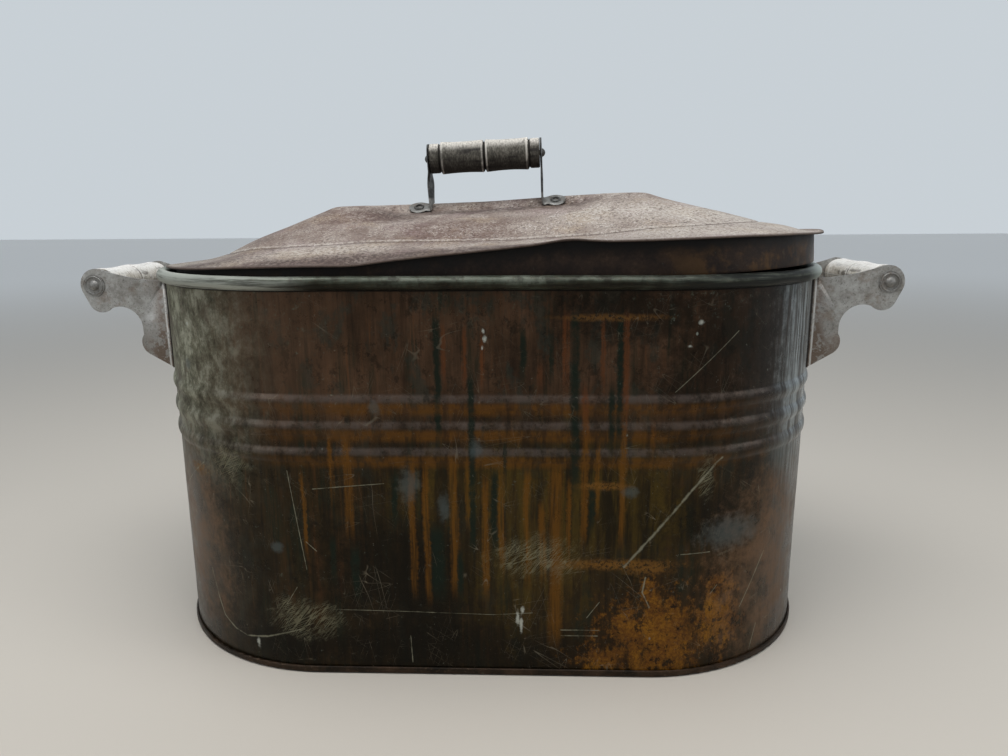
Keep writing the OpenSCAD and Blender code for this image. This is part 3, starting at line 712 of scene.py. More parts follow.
def lid_material():
    """The lid's sheet. "sheet" holds x and y in metres in the lid's own frame, and 1 on the under side."""
    s = Shader("dusty_lid")
    x, y, under = s.split(s.attribute("sheet", "Vector"))
    x, y = s.times(x, 1 / MM), s.times(y, 1 / MM)
    place = s.join(x, y, 0.0)
    broad = s.patches(12, 5, 0.65)
    cloud = s.patches(45, 6, 0.7)
    grain = s.patches(360, 4, 0.75)
    fine = s.patches(620, 3, 0.7)
    ragged = s.sway(s.patches(90, 5, 0.7), 2.2)
    tone = s.blend(broad, 0.45, cloud, 0.55)
    tone = s.plus(tone, s.level(x, -220, 240, -0.022, 0.045))
    s.colour = s.ramp(tone, [(0.34, (0.095, 0.060, 0.047)), (0.44, (0.180, 0.130, 0.106)),
                             (0.53, (0.265, 0.215, 0.183)), (0.66, (0.390, 0.345, 0.305))])
    mauve = s.level(s.patches(26, 4, 0.6, shift=(2.3, 0.4, 0)), 0.50, 0.66)
    s.paint((0.235, 0.165, 0.160), mauve, 0.45)
    ochre = s.level(s.patches(20, 5, 0.65, shift=(-1.7, 3.1, 0)), 0.52, 0.66)
    s.paint((0.330, 0.245, 0.150), ochre, 0.35)
    s.paint((0.285, 0.262, 0.220), s.level(x, -170, -262, 0.0, 0.6))
    # Pale places, and painted glints on the right of the roof
    pale = blots(s, place, LID_PALE_AND_GLINTS, ragged, 0.8)
    s.paint((0.520, 0.475, 0.420), pale, s.level(grain, 0.40, 0.60, 0.1, 0.75))
    # Soot along the edge, and painted shadow of the grip below the ridge and beside the left foot
    soot_and_shade = blots(s, place, LID_SOOT_AND_SHADE, ragged, 0.8)
    s.paint((0.046, 0.026, 0.021), soot_and_shade, s.level(grain, 0.62, 0.42, 0.35, 0.92))
    clear_of_soot_and_shade = s.minus(1.0, soot_and_shade)
    red = s.times(blots(s, place, LID_RED, ragged, 0.9), s.level(grain, 0.60, 0.44, 0.1, 0.7))
    s.paint((0.105, 0.052, 0.040), red)
    # Painted highlight along a fold in the roof
    arc = strokes(s, place, LID_FOLD_HIGHLIGHT, s.times(ragged, 0.6))
    s.paint((0.560, 0.520, 0.470), arc, s.level(cloud, 0.38, 0.52, 0.2, 0.8))

    # Grit, with dark pits between bright grains
    pits = s.level(grain, 0.47, 0.34)
    s.paint((0.055, 0.036, 0.030), pits, s.level(broad, 0.35, 0.6, 0.6, 0.95))
    bright = s.times(s.level(fine, 0.54, 0.64), s.level(cloud, 0.40, 0.56, 0.35, 0.95))
    bright = s.times(bright, s.times(clear_of_soot_and_shade, s.level(x, -160, 200, 0.55, 0.95)))
    s.paint((0.640, 0.605, 0.560), bright)
    hairs = s.times(s.hairs(place, (8, -24, 61), 120, 8, 0.005), s.level(cloud, 0.46, 0.58))
    s.paint((0.090, 0.060, 0.050), hairs, 0.5)

    # The crease, with painted shade in its groove and a painted highlight along its inner side, and the
    # worn edge
    r = s.from_run(x, y, HALF_RUN)
    # Painted shade in the crease's groove
    crease = s.level(s.apart(r, CREASE_R + 0.4), 2.0, 0.7)
    s.paint((0.050, 0.034, 0.028), crease, 0.85)
    # Painted highlight along the inner side of the crease
    ridge = s.level(s.apart(r, CREASE_R - 3.2), 2.4, 0.6)
    s.paint((0.520, 0.480, 0.430), ridge, s.level(grain, 0.4, 0.6, 0.1, 0.6))
    edge = s.level(s.plus(r, s.times(ragged, 1.6)), LID_R - 3.5, LID_R - 0.5)
    s.paint((0.070, 0.046, 0.036), edge, 0.75)
    s.paint(s.ramp(tone, [(0.36, (0.012, 0.008, 0.006)), (0.62, (0.050, 0.030, 0.020))]), under)
    relief = s.plus(s.times(grain, 0.5), s.times(s.patches(60, 3, 0.5), 0.7))
    return s.finish(s.level(cloud, 0.3, 0.7, 0.62, 0.82), 0.1, s.bump(relief, 0.0007, 0.55), 0.35)


def band_material():
    """Dark brown skirt, its darkness partly painted shade under the brim, rusty at its right, darker still
    at its top as painted shade.
    """
    s = Shader("lid_band")
    x = s.split(s.where)[0]
    cloud = s.patches(40, 6, 0.7)
    grain = s.patches(380, 4, 0.7)
    tone = s.blend(cloud, 0.7, grain, 0.3)
    s.colour = s.ramp(tone, [(0.36, (0.008, 0.005, 0.004)), (0.48, (0.019, 0.011, 0.008)),
                             (0.58, (0.034, 0.020, 0.013)), (0.70, (0.068, 0.040, 0.025))])
    rusty = s.times(s.level(x, 0.10, 0.20), s.level(s.patches(28, 5, 0.7), 0.46, 0.62))
    s.paint((0.110, 0.056, 0.018), rusty, 0.7)
    green = s.level(s.patches(150, 5, 0.75), 0.64, 0.72)
    s.paint((0.090, 0.105, 0.080), green, 0.4)
    # Painted shade: darker towards the top, under the brim
    depth = s.plus(s.attribute("depth"), s.sway(cloud, 0.5))
    s.paint((0.005, 0.004, 0.0035), s.level(depth, 0.55, 0.12))
    relief = s.blend(cloud, 0.6, grain, 0.2)
    return s.finish(s.level(cloud, 0.3, 0.7, 0.42, 0.62), 0.25, s.bump(relief, 0.0006, 0.5), 0.3)


def iron_material(name, shade, rust, ears=False, legs=False):
    """Tinned iron, mottled. shade is a factor on its colour, rust from 0 to 1."""
    s = Shader(name)
    x, _, z = s.split(s.where)
    broad = s.patches(28, 5, 0.65)
    cloud = s.patches(130, 6, 0.72)
    grain = s.patches(700, 4, 0.7)
    tone = s.blend(broad, 0.35, cloud, 0.65)
    stops = [(0.34, (0.130, 0.124, 0.110)), (0.45, (0.200, 0.195, 0.182)), (0.55, (0.272, 0.270, 0.258)),
             (0.68, (0.360, 0.360, 0.350))]
    s.colour = s.ramp(tone, [(at, tuple(shade * c for c in tint)) for at, tint in stops])
    brown = s.times(s.level(s.patches(75, 6, 0.75), 0.52 - 0.06 * rust, 0.66), 0.3 + 0.6 * rust)
    s.paint((0.110 * shade, 0.066 * shade, 0.036 * shade), brown)
    pits = s.level(grain, 0.44, 0.34)
    s.paint((0.040, 0.034, 0.028), pits, 0.6)
    if ears:
        # Rust at the foot and the root of each ear, and a painted highlight on the bend and a painted
        # shadow line at the wall
        out = s.math("ABSOLUTE", x)
        foot = s.plus(s.level(z, EAR_RUST_Z, EAR_RUST_Z - 35 * MM),
                      s.level(out, EAR_RUST_X, EAR_RUST_X - 14 * MM))
        spread = s.times(foot, s.level(cloud, 0.42, 0.56, 0.05, 0.75))
        s.paint((0.115, 0.070, 0.042), s.least(spread, 0.85))
        root = s.plus(out, s.sway(broad, 2 * MM))
        # Painted highlight along the bend
        bend = s.level(s.apart(root, EAR_BEND_X), 1.1 * MM, 0.4 * MM)
        s.paint((0.620, 0.610, 0.580), bend, s.level(cloud, 0.38, 0.50, 0.2, 0.9))
        # Painted shadow: a dark line where the ear meets the wall
        s.paint((0.012, 0.010, 0.008), s.level(root, EAR_ROOT_SHADE_X, EAR_ROOT_SHADE_X - 0.8 * MM), 0.9)
    if legs:
        # The straps are painted black as shade, and the feet keep the paler iron
        height = s.minus(z, s.times(x, FEET_SLOPE))
        # Painted shade: the strap above the feet turned black
        strap = s.times(s.level(height, FEET_TOP_Z, FEET_TOP_Z + 2 * MM),
                        s.level(cloud, 0.62, 0.44, 0.5, 0.9))
        s.paint((0.010, 0.010, 0.010), strap)
    relief = s.blend(cloud, 0.6, grain, 0.3)
    roughness = s.plus(s.level(tone, 0.35, 0.65, 0.58, 0.38), s.times(brown, 0.25))
    return s.finish(roughness, s.level(brown, 0.1, 0.6, 0.45, 0.05), s.bump(relief, 0.0005, 0.5), 0.4)


def wood_material(name, dark, middle, light, groove, dust_and_highlight):
    """Bare turned wood with its grain along the grip, darker in its rings and checks, a painted highlight
    along its top and painted shade under it.
    """
    s = Shader(name)
    along, around, barrel_end = s.split(s.attribute("turned", "Vector"))
    sunk = s.attribute("sunk")
    angle = s.times(around, 2 * math.pi)
    up = s.math("SINE", angle)
    ring = s.join(s.times(along, 3.0), s.times(s.math("COSINE", angle), GRIP_WAIST_R * MM),
                  s.times(up, GRIP_WAIST_R * MM))
    grain = s.noise(ring, 330, 5, 0.7, 0.4)
    fibre = s.noise(s.stretch(ring, (0.6, 1, 1)), 1300, 3, 0.7)
    patch = s.noise(s.stretch(ring, (0.4, 1, 1)), 60, 4, 0.6)
    tone = s.blend(grain, 0.6, patch, 0.4)
    s.colour = s.ramp(tone, [(0.36, dark), (0.50, middle), (0.64, light)])
    s.paint(dark, s.level(fibre, 0.46, 0.34), 0.55)
    s.paint(groove, s.level(sunk, 0.15, 0.6), 0.8)
    far = s.math("ABSOLUTE", along)
    in_groove = s.most(s.level(s.apart(far, barrel_end), 1.4 * MM, 0.4 * MM),
                       s.level(far, 1.4 * MM, 0.4 * MM))
    s.paint(groove, in_groove, 0.85)
    # Painted highlight: paler along the top of the grip
    lit_top = s.times(s.level(up, 0.32, 0.88), s.level(grain, 0.36, 0.54, 0.4, 1.0))
    s.paint(dust_and_highlight, lit_top, s.minus(0.9, in_groove))
    # Painted shade: darker under the grip
    s.paint(groove, s.level(up, 0.0, -0.9, 0.0, 0.75))
    worn = s.level(s.apart(far, s.minus(barrel_end, 2.4 * MM)), 1.2 * MM, 0.3 * MM)
    worn = s.most(worn, s.level(s.apart(far, 2.1 * MM), 1.1 * MM, 0.3 * MM))
    worn = s.times(worn, s.level(patch, 0.40, 0.54, 0.2, 0.9))
    s.paint(dust_and_highlight, worn, 0.7)
    relief = s.blend(grain, 0.5, fibre, 0.5)
    return s.finish(s.level(tone, 0.3, 0.7, 0.82, 0.6), 0.0, s.bump(relief, 0.0006, 0.6), 0.3)


# ---- wall, rim and bottom ----

def wall_profile(z):
    """How far the wall stands out at a height, for its beads."""
    radius = (BEAD_HALF ** 2 + BEAD_PROUD ** 2) / (2 * BEAD_PROUD)
    out = np.zeros_like(z)
    for middle in BEAD_Z:
        near = np.clip(1 - ((z - middle) / radius) ** 2, 0, None)
        arc = BEAD_PROUD - radius + radius * np.sqrt(near)
        out = np.maximum(out, BEAD_BLEND * np.log1p(np.exp(arc / BEAD_BLEND)))
    return out


def wall_line():
    """Middle of the sheet from the bottom up to the rim and round the wire."""
    foot, curl_foot, near_beads, step, bead_step = 0.9, 318.4, 10, 3.2, 0.9
    low, high = BEAD_Z[-1] - near_beads, BEAD_Z[0] + near_beads
    z = np.concatenate([np.arange(foot, low, step), np.arange(low, high, bead_step),
                        np.arange(high, curl_foot, step)])
    line = np.stack([WALL_R - SHEET / 2 + wall_profile(z), z], -1)
    angles = np.radians(np.linspace(241, -100, 40))
    curl = np.stack([RIM_R + CURL_R * np.cos(angles), RIM_Z + CURL_R * np.sin(angles)], -1)
    return np.concatenate([line, curl])


# Dents in the wall: arc length, height, half sizes and depth
WALL_DENTS = (
    (-118, 96, 34, 26, 0.9), (46, 118, 26, 36, 0.8), (188, 132, 40, 28, 1.3), (-232, 62, 30, 34, 1.1),
    (96, 52, 40, 22, 0.8), (250, 70, 26, 40, 1.2), (-196, 176, 26, 16, 0.8), (-30, 290, 60, 18, 0.5),
    (150, 276, 44, 26, 0.7), (430, 120, 50, 40, 1.4), (-470, 150, 44, 50, 1.2), (620, 90, 60, 34, 1.3),
    (-680, 200, 50, 40, 1.0), (730, 260, 46, 24, 0.8))


def wall_give(us, points):
    """How far each point of the wall is pushed in, the same for both faces of the sheet."""
    z = points[..., 2]
    u = np.repeat(np.asarray(us)[:, None], z.shape[1], 1)
    give = np.zeros_like(z)
    for du, dz, wu, wz, depth in WALL_DENTS:
        give -= depth * bell(u, du, wu) * bell(z, dz, wz)
    give += 0.55 * wander(points, 95, 3.1) + 0.16 * wander(points, 31, 7.7)
    # The bottom edge, the rim and the walls behind the brackets are held
    held = smooth(4, 26, z) * smooth(316, 292, z)
    end = HALF_RUN + ARC / 2
    bracket = bell(np.abs(np.abs(u) - end), 0, 70) * smooth(215, 240, z)
    return give * held * (1 - bracket)


def outward(us):
    """Outward normals at arc lengths along the wall."""
    normals = np.array([round_oval(u)[1:] for u in us])
    return np.concatenate([normals, np.zeros((len(us), 1))], 1)


WALL_STEP = 4.2              # between columns of points along the wall
RIM_WAVE = 0.35              # how far the rim rises and falls


def make_wall(name, start, end, node, material):
    """One side sheet, from its bottom edge to the curl round the wire, between two arc lengths."""
    us = columns(start, end, WALL_STEP)
    line = wall_line()
    loop = thicken(line, SHEET)
    count = len(line)
    middle = sweep(us, line)
    give = wall_give(us, middle)
    both = np.concatenate([give, give[:, ::-1]], 1)
    points = sweep(us, loop) + both[..., None] * outward(us)[:, None, :]
    rim = smooth(300, 318, points[..., 2])
    lift = RIM_WAVE * wander(points[:, 0] * (1, 1, 0), 70, 5.5)
    points[..., 2] += rim * lift[:, None]
    piece = make_mesh(name, points, capped_faces(len(us), 2 * count), material)
    u = np.repeat(np.asarray(us)[:, None], 2 * count, 1)
    z = np.tile(loop[:, 1], (len(us), 1))
    inner = np.tile(np.r_[np.zeros(count), np.ones(count)], (len(us), 1))
    add_attribute(piece, "sheet", np.stack([u * MM, z * MM, inner], -1).reshape(-1, 3))
    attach(piece, "boiler")
    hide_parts(node)


def make_walls(material):
    half = HALF_RUN + ARC / 2
    gap = 0.05
    make_wall("wall_front", -half + gap, half - gap, "side_sheet_front", material)
    make_wall("wall_back", half + gap, 2 * ROUND - half - gap, "side_sheet_back", material)


# ---- lid ----

def lid_place():
    """The lid's own frame, from the joint of its grip: z = 0 is the top of its edge."""
    joint = next(j for j in frame["joints"] if j["name"] == "lid_grip_spin")
    axis, anchor = Vector(joint["axis"]), Vector(joint["pos_m"]) / MM
    rise = LID_RISE + LID_GRIP_RISE
    tilt, roll = math.atan2(axis.z, axis.x), math.asin(anchor.y / rise)
    turn = Matrix.Rotation(-tilt, 4, "Y") @ Matrix.Rotation(-roll, 4, "X")
    return Matrix.Translation(anchor - turn @ Vector((HANDLE_SHIFT, 0, rise))) @ turn


LID_PLACE = lid_place()
HANDLE_PLACE = LID_PLACE @ Matrix.Translation((HANDLE_SHIFT, 0, 0))


def placed(points, matrix=None):
    """Points carried from the lid's frame, or another one, to the object's."""
    matrix = np.array(LID_PLACE if matrix is None else matrix)
    points = np.asarray(points, float)
    return points @ matrix[:3, :3].T + matrix[:3, 3]


def wave(value, points, soft=8.0):
    """A soft line through a few (place, height) points."""
    places, heights = zip(*points)
    return np.mean([np.interp(value + d * soft, places, heights) for d in (-1, -0.5, 0, 0.5, 1)], 0)


# How the lid is bent: (x, rise) along its front edge, its crease and its ridge
EDGE_WAVE = ((-275, 0), (-240, -1.5), (-207, -2), (-171, -2.6), (-134, -3.5), (-96, -5.2), (-59, -2),
             (-21, 0), (16, 1.9), (44, 3.8), (64, 6.6), (92, 3.3), (129, 2.2), (161, 1.8), (198, 1.2),
             (235, 0))
CREASE_WAVE = ((-180, 0), (-135, 0.2), (-96, 0.8), (-21, -1.7), (16, -2.9), (92, -2.5), (129, 0),
               (200, 0.9), (240, 0))
RIDGE_WAVE = ((-190, 0), (-160, 0.6), (-135, 1), (-60, -0.7), (0, -1.6), (60, -0.5), (96, -0.3),
              (128, -0.9), (150, -2.2), (175, -2.4), (205, -0.8), (240, 0))
# The dent in front of the handle: (y, share of its depth)
HANDLE_DENT = ((-70, 0), (-34, 0.5), (-10, 1), (2, 0), (20, 0))
HANDLE_DENT_DEPTH = 7.5
CREASE_DEPTH = 0.8


def lid_top(x, y):
    """Height of the lid's upper face in its own frame."""
    r = np.hypot(np.maximum(np.abs(x) - HALF_RUN, 0), y)
    roof = ((-20, LID_RISE), (RIDGE_HALF, LID_RISE), (CREASE_R, BRIM_RISE),
            (2 * LID_R - CREASE_R, -BRIM_RISE))
    z = np.where(r < 60, wave(r, roof, 4), wave(r, roof, 1.2))
    front = smooth(10, -50, y)
    edge = np.clip(1 - (LID_R - r) / 50, 0, 1) ** 2
    z += wave(x, EDGE_WAVE) * front * edge
    z += wave(x, CREASE_WAVE) * front * bell(r, CREASE_R, 30)
    z += wave(x, RIDGE_WAVE) * bell(y, 0, 34) * smooth(150, 118, r)
    # Both ends sag inside their edge, and the right edge turns up
    z -= 4.0 * bell(r, 120, 27) * smooth(-185, -232, x) + 2.6 * bell(r, 145, 15) * smooth(235, 278, x)
    z += 1.2 * smooth(282, 294, x) * smooth(153, LID_R, r)
    z -= HANDLE_DENT_DEPTH * wave(y, HANDLE_DENT, 1.5) * smooth(-114, -80, x) * smooth(104, 80, x)
    z -= CREASE_DEPTH * bell(r, CREASE_R, 1.1)
    flat = np.stack([x, y, 0 * x], -1)
    rough = 0.7 * wander(flat, 58, 2.2) + 0.22 * wander(flat, 21, 9.1)
    return z + rough * smooth(LID_R, 140, r) * smooth(6, 20, r)


def lid_columns():
    """Centre x and outward normal of each column of the lid's points."""
    return np.array([round_oval(u) for u in columns(-ROUND, ROUND, 4.5)[:-1]])


def round_lid(cols, section):
    """x and y of a section of radii carried round the columns."""
    return cols[:, 0:1] + cols[:, 1:2] * section, cols[:, 2:3] * section


def make_lid_sheet(material):
    """Ridge, roof, brim and the hem folded under it, as one closed sheet."""
    hem_in, hem_foot, sheet_foot = LID_R - HEM_W, 1.7, 0.85
    radii = np.r_[0:12:2, 12:100:3, 100:114:1.0, 114:153:3, 153:LID_R - 0.6:1.1, LID_R - 0.6]
    under = radii[::-1]
    section = np.r_[radii, LID_R, LID_R, under]
    drop = np.r_[0 * radii, 0.4, 1.3, np.where(under > hem_in, hem_foot, sheet_foot)]
    cols = lid_columns()
    x, y = round_lid(cols, section)
    z = lid_top(x, y) - drop
    points = np.stack([x, y, z], -1)
    faces = grid_faces(len(cols), len(section), wrap_n=True)
    piece = make_mesh("lid_sheet", placed(points), faces, material, weld=WELD)
    own = np.linalg.inv(np.array(LID_PLACE))
    back = placed(np.array([v.co for v in piece.data.vertices]) / MM, own)
    above = back[:, 2] - lid_top(back[:, 0], back[:, 1]) > -0.6
    add_attribute(piece, "sheet", np.stack([back[:, 0] * MM, back[:, 1] * MM, ~above], -1))
    dress(piece, "lid_cover")


def make_lid_band(material):
    """The skirt, its top under the brim, with a flange turned in."""
    flange, flange_top, flange_foot = 5.0, 0.9, 1.7
    heights = np.r_[0:SKIRT_DEPTH - 1:1.6, SKIRT_DEPTH - 1]
    deep = np.r_[heights, SKIRT_DEPTH, SKIRT_DEPTH, heights[::-1]]
    outer = np.r_[0 * heights + 0.4, 0.2, -0.2, 0 * heights - 0.4]
    section = np.r_[SKIRT_R - flange, SKIRT_R + outer, SKIRT_R - flange]
    share = np.r_[0, deep / SKIRT_DEPTH, 0]
    # How far each point of its top lies below the lid's upper face
    below = np.r_[0, 0 * deep, 0] + flange_top
    below[-2:] = flange_foot
    cols = lid_columns()
    bulge = 0.6 * wander(cols * (1, 60, 60), 45, 4.4)[:, None] * share * smooth(0, 0.3, share)
    x, y = round_lid(cols, section + bulge)
    top = lid_top(*round_lid(cols, section)) - below
    points = np.stack([x, y, top * (1 - share) - SKIRT_DEPTH * share], -1)
    faces = grid_faces(len(cols), len(section), wrap_n=True, wrap_m=True)
    piece = make_mesh("lid_band", placed(points), faces, material)
    add_attribute(piece, "depth", np.tile(share, len(cols)))
    dress(piece, "lid_skirt")


# ---- lid handle ----

LEG_T = 1.8                  # thickness of the strip
LEG_HALF_W = 6.5
LEG_TOP_X = LID_GRIP_L / 2 + 0.4
LEG_FOOT_X = LEG_TOP_X - 0.5
EYE_R = 13.2
HEEL_R = 2.2                 # of the bend from the strap into the foot
FOOT_X = 62.7
FOOT_Y = -6.0
FOOT_R = 9.2
FOOT_TILT = math.radians(31)
FOOT_UP = np.array([0, -math.sin(FOOT_TILT), math.cos(FOOT_TILT)])
FOOT_ACROSS = np.array([0, math.cos(FOOT_TILT), math.sin(FOOT_TILT)])


def foot_middle(side):
    """Middle of a foot's upper face, on the dented ridge."""
    x, y = np.array([side * FOOT_X]), np.array([FOOT_Y])
    return np.array([x[0], y[0], lid_top(x + HANDLE_SHIFT, y)[0]]) + FOOT_UP * (LEG_T + 0.2)


def leg_rows(side, twist):
    """Middle line of a leg's strap from its eye to its toe: place, width direction, half width."""
    rows = []
    grip_z = LID_RISE + LID_GRIP_RISE
    foot = foot_middle(side) - FOOT_UP * LEG_T / 2
    heel_z = foot[2] + 3
    eye_zs = EYE_R * np.cos(np.radians(np.arange(4, 100, 9))) + grip_z
    for z in np.r_[eye_zs, np.linspace(grip_z - 4, heel_z, 16)]:
        round_w = math.sqrt(max(EYE_R ** 2 - (z - grip_z) ** 2, 0))
        neck = smooth(grip_z, grip_z - 13, z)
        half = round_w if z > grip_z else max(round_w, LEG_HALF_W + (EYE_R - LEG_HALF_W) * (1 - neck) * 0.6)
        down = smooth(LID_RISE + 26, heel_z, z)
        x = LEG_TOP_X + LEG_T / 2 - (LEG_TOP_X - LEG_FOOT_X) * down
        turn = twist * smooth(grip_z - 6, grip_z - 26, z)
        turned = np.array([math.sin(turn) * side, math.cos(turn), 0])
        across = turned * (1 - 0.5 * down) + FOOT_ACROSS * 0.5 * down
        rows.append((np.array([side * x, FOOT_Y * down, z]), across, half))
    for angle in np.radians((25, 50, 75)):
        reach = (1 - math.cos(angle)) * HEEL_R
        place = foot + np.array([side * (LEG_FOOT_X + LEG_T / 2 + reach) - foot[0], 0, 0])
        rows.append((place + FOOT_UP * (1 - math.sin(angle)) * HEEL_R, FOOT_ACROSS, LEG_HALF_W))
    for angle in np.radians(np.r_[40:180:10, 178]):
        half = FOOT_R * math.sin(angle)
        if angle < math.pi / 2:
            half = max(half, LEG_HALF_W)
        rows.append((foot - np.array([side * FOOT_R * math.cos(angle), 0, 0]), FOOT_ACROSS, half))
    return rows


def make_leg(name, side, twist, node, material):
    """A leg of the lid's handle: eye, twisted strap and dished foot, cut from one strip."""
    rows = leg_rows(side, twist)
    places = np.array([r[0] for r in rows])
    along = np.gradient(places, axis=0)
    along /= np.linalg.norm(along, axis=1)[:, None]
    across = np.array([r[1] / np.linalg.norm(r[1]) for r in rows])
    normal = np.cross(along, across)
    normal /= np.linalg.norm(normal, axis=1)[:, None]
    half = np.array([r[2] for r in rows])
    steps = np.linspace(-1, 1, 13)
    edge = np.sqrt(np.clip(1 - np.abs(steps) ** 14, 0, 1)) * 0.5 + 0.5 * (np.abs(steps) < 0.999)
    ring = np.r_[steps, steps[::-1]]
    rise = np.r_[edge, -edge[::-1]] * LEG_T / 2
    points = (places[:, None] + across[:, None] * (half[:, None] * ring)[..., None]
              + normal[:, None] * rise[None, :, None])
    middle = foot_middle(side)
    flat = points - middle
    from_middle = np.linalg.norm(flat - (flat @ FOOT_UP)[..., None] * FOOT_UP, axis=-1)
    in_foot = (np.abs(points[..., 0]) > LEG_FOOT_X + 5) & (np.abs(flat @ FOOT_UP) < 4)
    dish = np.where(in_foot, 0.9 * smooth(3.5, FOOT_R, from_middle), 0)
    points = points + dish[..., None] * FOOT_UP
    faces = capped_faces(len(rows), len(ring))
    piece = make_mesh(name, placed(points, HANDLE_PLACE), faces, material, weld=WELD, crease_deg=50)
    dress(piece, node)


def lathe(profile, count, ragged, seed):
    """Rings of a (radius, height) profile about Z, as [ring, turn, xyz]."""
    turns = np.arange(count) * 2 * math.pi / count
    radius, height = np.transpose(profile)
    points = rings(height, radius, turns)[..., [1, 2, 0]]
    if ragged:
        points += ragged * wander(points, 3.0, seed)[..., None] * (0.5, 0.5, 1)
    return points


def foot_frame(side):
    """A foot's own frame in the handle's: z up out of its face."""
    matrix = np.eye(4)
    matrix[:3, :3] = np.stack([np.array([1.0, 0, 0]), FOOT_ACROSS, FOOT_UP], -1)
    matrix[:3, 3] = foot_middle(side)
    return matrix


# Radius and height: a hollow rivet from its torn lip down, and the burr under the lid
RIVET_PROFILE = ((0.01, -2.6), (1.9, -2.4), (2.3, -0.6), (2.5, 0.9), (2.9, 1.5), (3.7, 1.5), (4.5, 0.9),
                 (4.7, 0.1), (4.5, -0.1), (2.0, -0.2), (2.0, -5.2), (3.0, -5.4), (2.9, -6.1), (0.01, -6.1))
BURR_PROFILE = ((2.1, -4.1), (4.4, -4.1), (4.6, -4.3), (4.6, -4.8), (4.4, -5.0), (2.1, -5.0))
TURNS = 36


def make_in_feet(name, profile, faces_of_one, ragged, material, node):
    """A small turned part in each of the two feet."""
    points, faces = [], []
    for side in (-1, 1):
        turned = lathe(profile, TURNS, ragged, side * 3.3).reshape(-1, 3)
        start = sum(len(p) for p in points)
        points.append(placed(placed(turned, foot_frame(side)), HANDLE_PLACE))
        faces += [tuple(start + i for i in f) for f in faces_of_one]
    piece = make_mesh(name, np.concatenate(points), faces, material)
    dress(piece, node)


def make_foot_rivets(rivet_material, burr_material):
    """Hollow rivets with a torn lip, through the foot and the lid, and the burrs under them."""
    closed = capped_faces(len(RIVET_PROFILE), TURNS)
    open_ring = grid_faces(len(BURR_PROFILE), TURNS, wrap_n=True, wrap_m=True)
    make_in_feet("lid_rivets", RIVET_PROFILE, closed, 0.35, rivet_material, "lid_foot_rivets")
    make_in_feet("lid_burrs", BURR_PROFILE, open_ring, 0.0, burr_material, "lid_rivet_burrs")


# ---- turned grips ----

def grip_radius(x, length):
    """Radius of a turned grip at a distance from its middle."""
    far = np.abs(x)
    barrel_end = length / 2 - GRIP_COLLAR_L - GROOVE_HALF
    middle = barrel_end / 2
    barrel = GRIP_WAIST_R + (GRIP_FLARE_R - GRIP_WAIST_R) * ((far - middle) / middle) ** 2
    radius = np.where(far > barrel_end, GRIP_COLLAR_R, barrel)
    for groove in (0, barrel_end):
        radius -= (radius - GRIP_COLLAR_R + GROOVE_DEPTH) * bell(far, groove, GROOVE_HALF * 1.1)
    end = length / 2 - far
    return radius - 0.9 * np.clip(1 - end / 1.2, 0, 1) ** 2


def make_grip(name, length, bore_r, matrix, node, body, material, seed):
    """A grip turned about X in its own frame, with a bore, checks in the wood and worn rings."""
    count = 72
    barrel_end = length / 2 - GRIP_COLLAR_L - GROOVE_HALF
    fine = [m + d for m in (-barrel_end, 0, barrel_end) for d in np.arange(-2.4, 2.5, 0.4)]
    x = np.unique(np.round(np.r_[np.arange(-length / 2 + 1.2, length / 2 - 1, 1.6), fine,
                                 [s * (length / 2 - e) for s in (-1, 1) for e in (0, 0.25, 0.6)]], 3))
    radius = grip_radius(x, length)
    turns = np.arange(count) * 2 * math.pi / count
    ring = rings(x, radius, turns)
    long_grain = wander(ring * (0.12, 1, 1), 3.6, seed) + 0.6 * wander(ring * (0.2, 1, 1), 1.7, seed + 5)
    lumps = wander(ring, 26, seed + 9)
    sunk = np.clip(long_grain, 0, 1)
    give = -0.22 * sunk ** 1.5 + 0.3 * lumps
    give *= smooth(0, 3, length / 2 - np.abs(x))[:, None]
    out = ring * (0, 1, 1) / radius[:, None, None]
    ring = ring + out * give[..., None]
    bore = rings(x[[-1, 0]], np.full(2, bore_r), turns)
    points = np.concatenate([ring, bore])
    faces = grid_faces(len(points), count, wrap_n=True, wrap_m=True)
    piece = make_mesh(name, placed(points.reshape(-1, 3), matrix), faces, material, crease_deg=35)
    around = np.tile(turns / (2 * math.pi), (len(points), 1))
    turned = np.stack([points[..., 0] * MM, around, 0 * around + barrel_end * MM], -1)
    add_attribute(piece, "turned", turned.reshape(-1, 3))
    add_attribute(piece, "sunk", np.concatenate([sunk, np.zeros((2, count))]).ravel())
    dress(piece, node, body=body)


def make_grips(old_wood, dark_wood):
    lid = HANDLE_PLACE @ Matrix.Translation((0, 0, LID_RISE + LID_GRIP_RISE))
    make_grip("lid_wood", LID_GRIP_L, 2.6, lid, "lid_grip", "lid_handle", dark_wood, 1.3)
    for name, side in (("left", -1), ("right", 1)):
        place = Matrix.Translation((side * ROD_X, 0, ROD_Z)) @ Matrix.Rotation(math.pi / 2, 4, "Z")
        make_grip(name + "_wood", SIDE_GRIP_L, 3.3, place, name + "_handle_grip", name + "_grip",
                  old_wood, 4.0 + 3 * side)


def bevel_node(name, width):
    """Rounds the sharp edges of a part that keeps its own shape."""
    modifier = frame["nodes"][name].modifiers.new("worn_edges", "BEVEL")
    modifier.width = width * MM
    modifier.segments = 2
    modifier.limit_method = "ANGLE"
    modifier.angle_limit = math.radians(40)
    modifier.harden_normals = True


# ---- stage ----

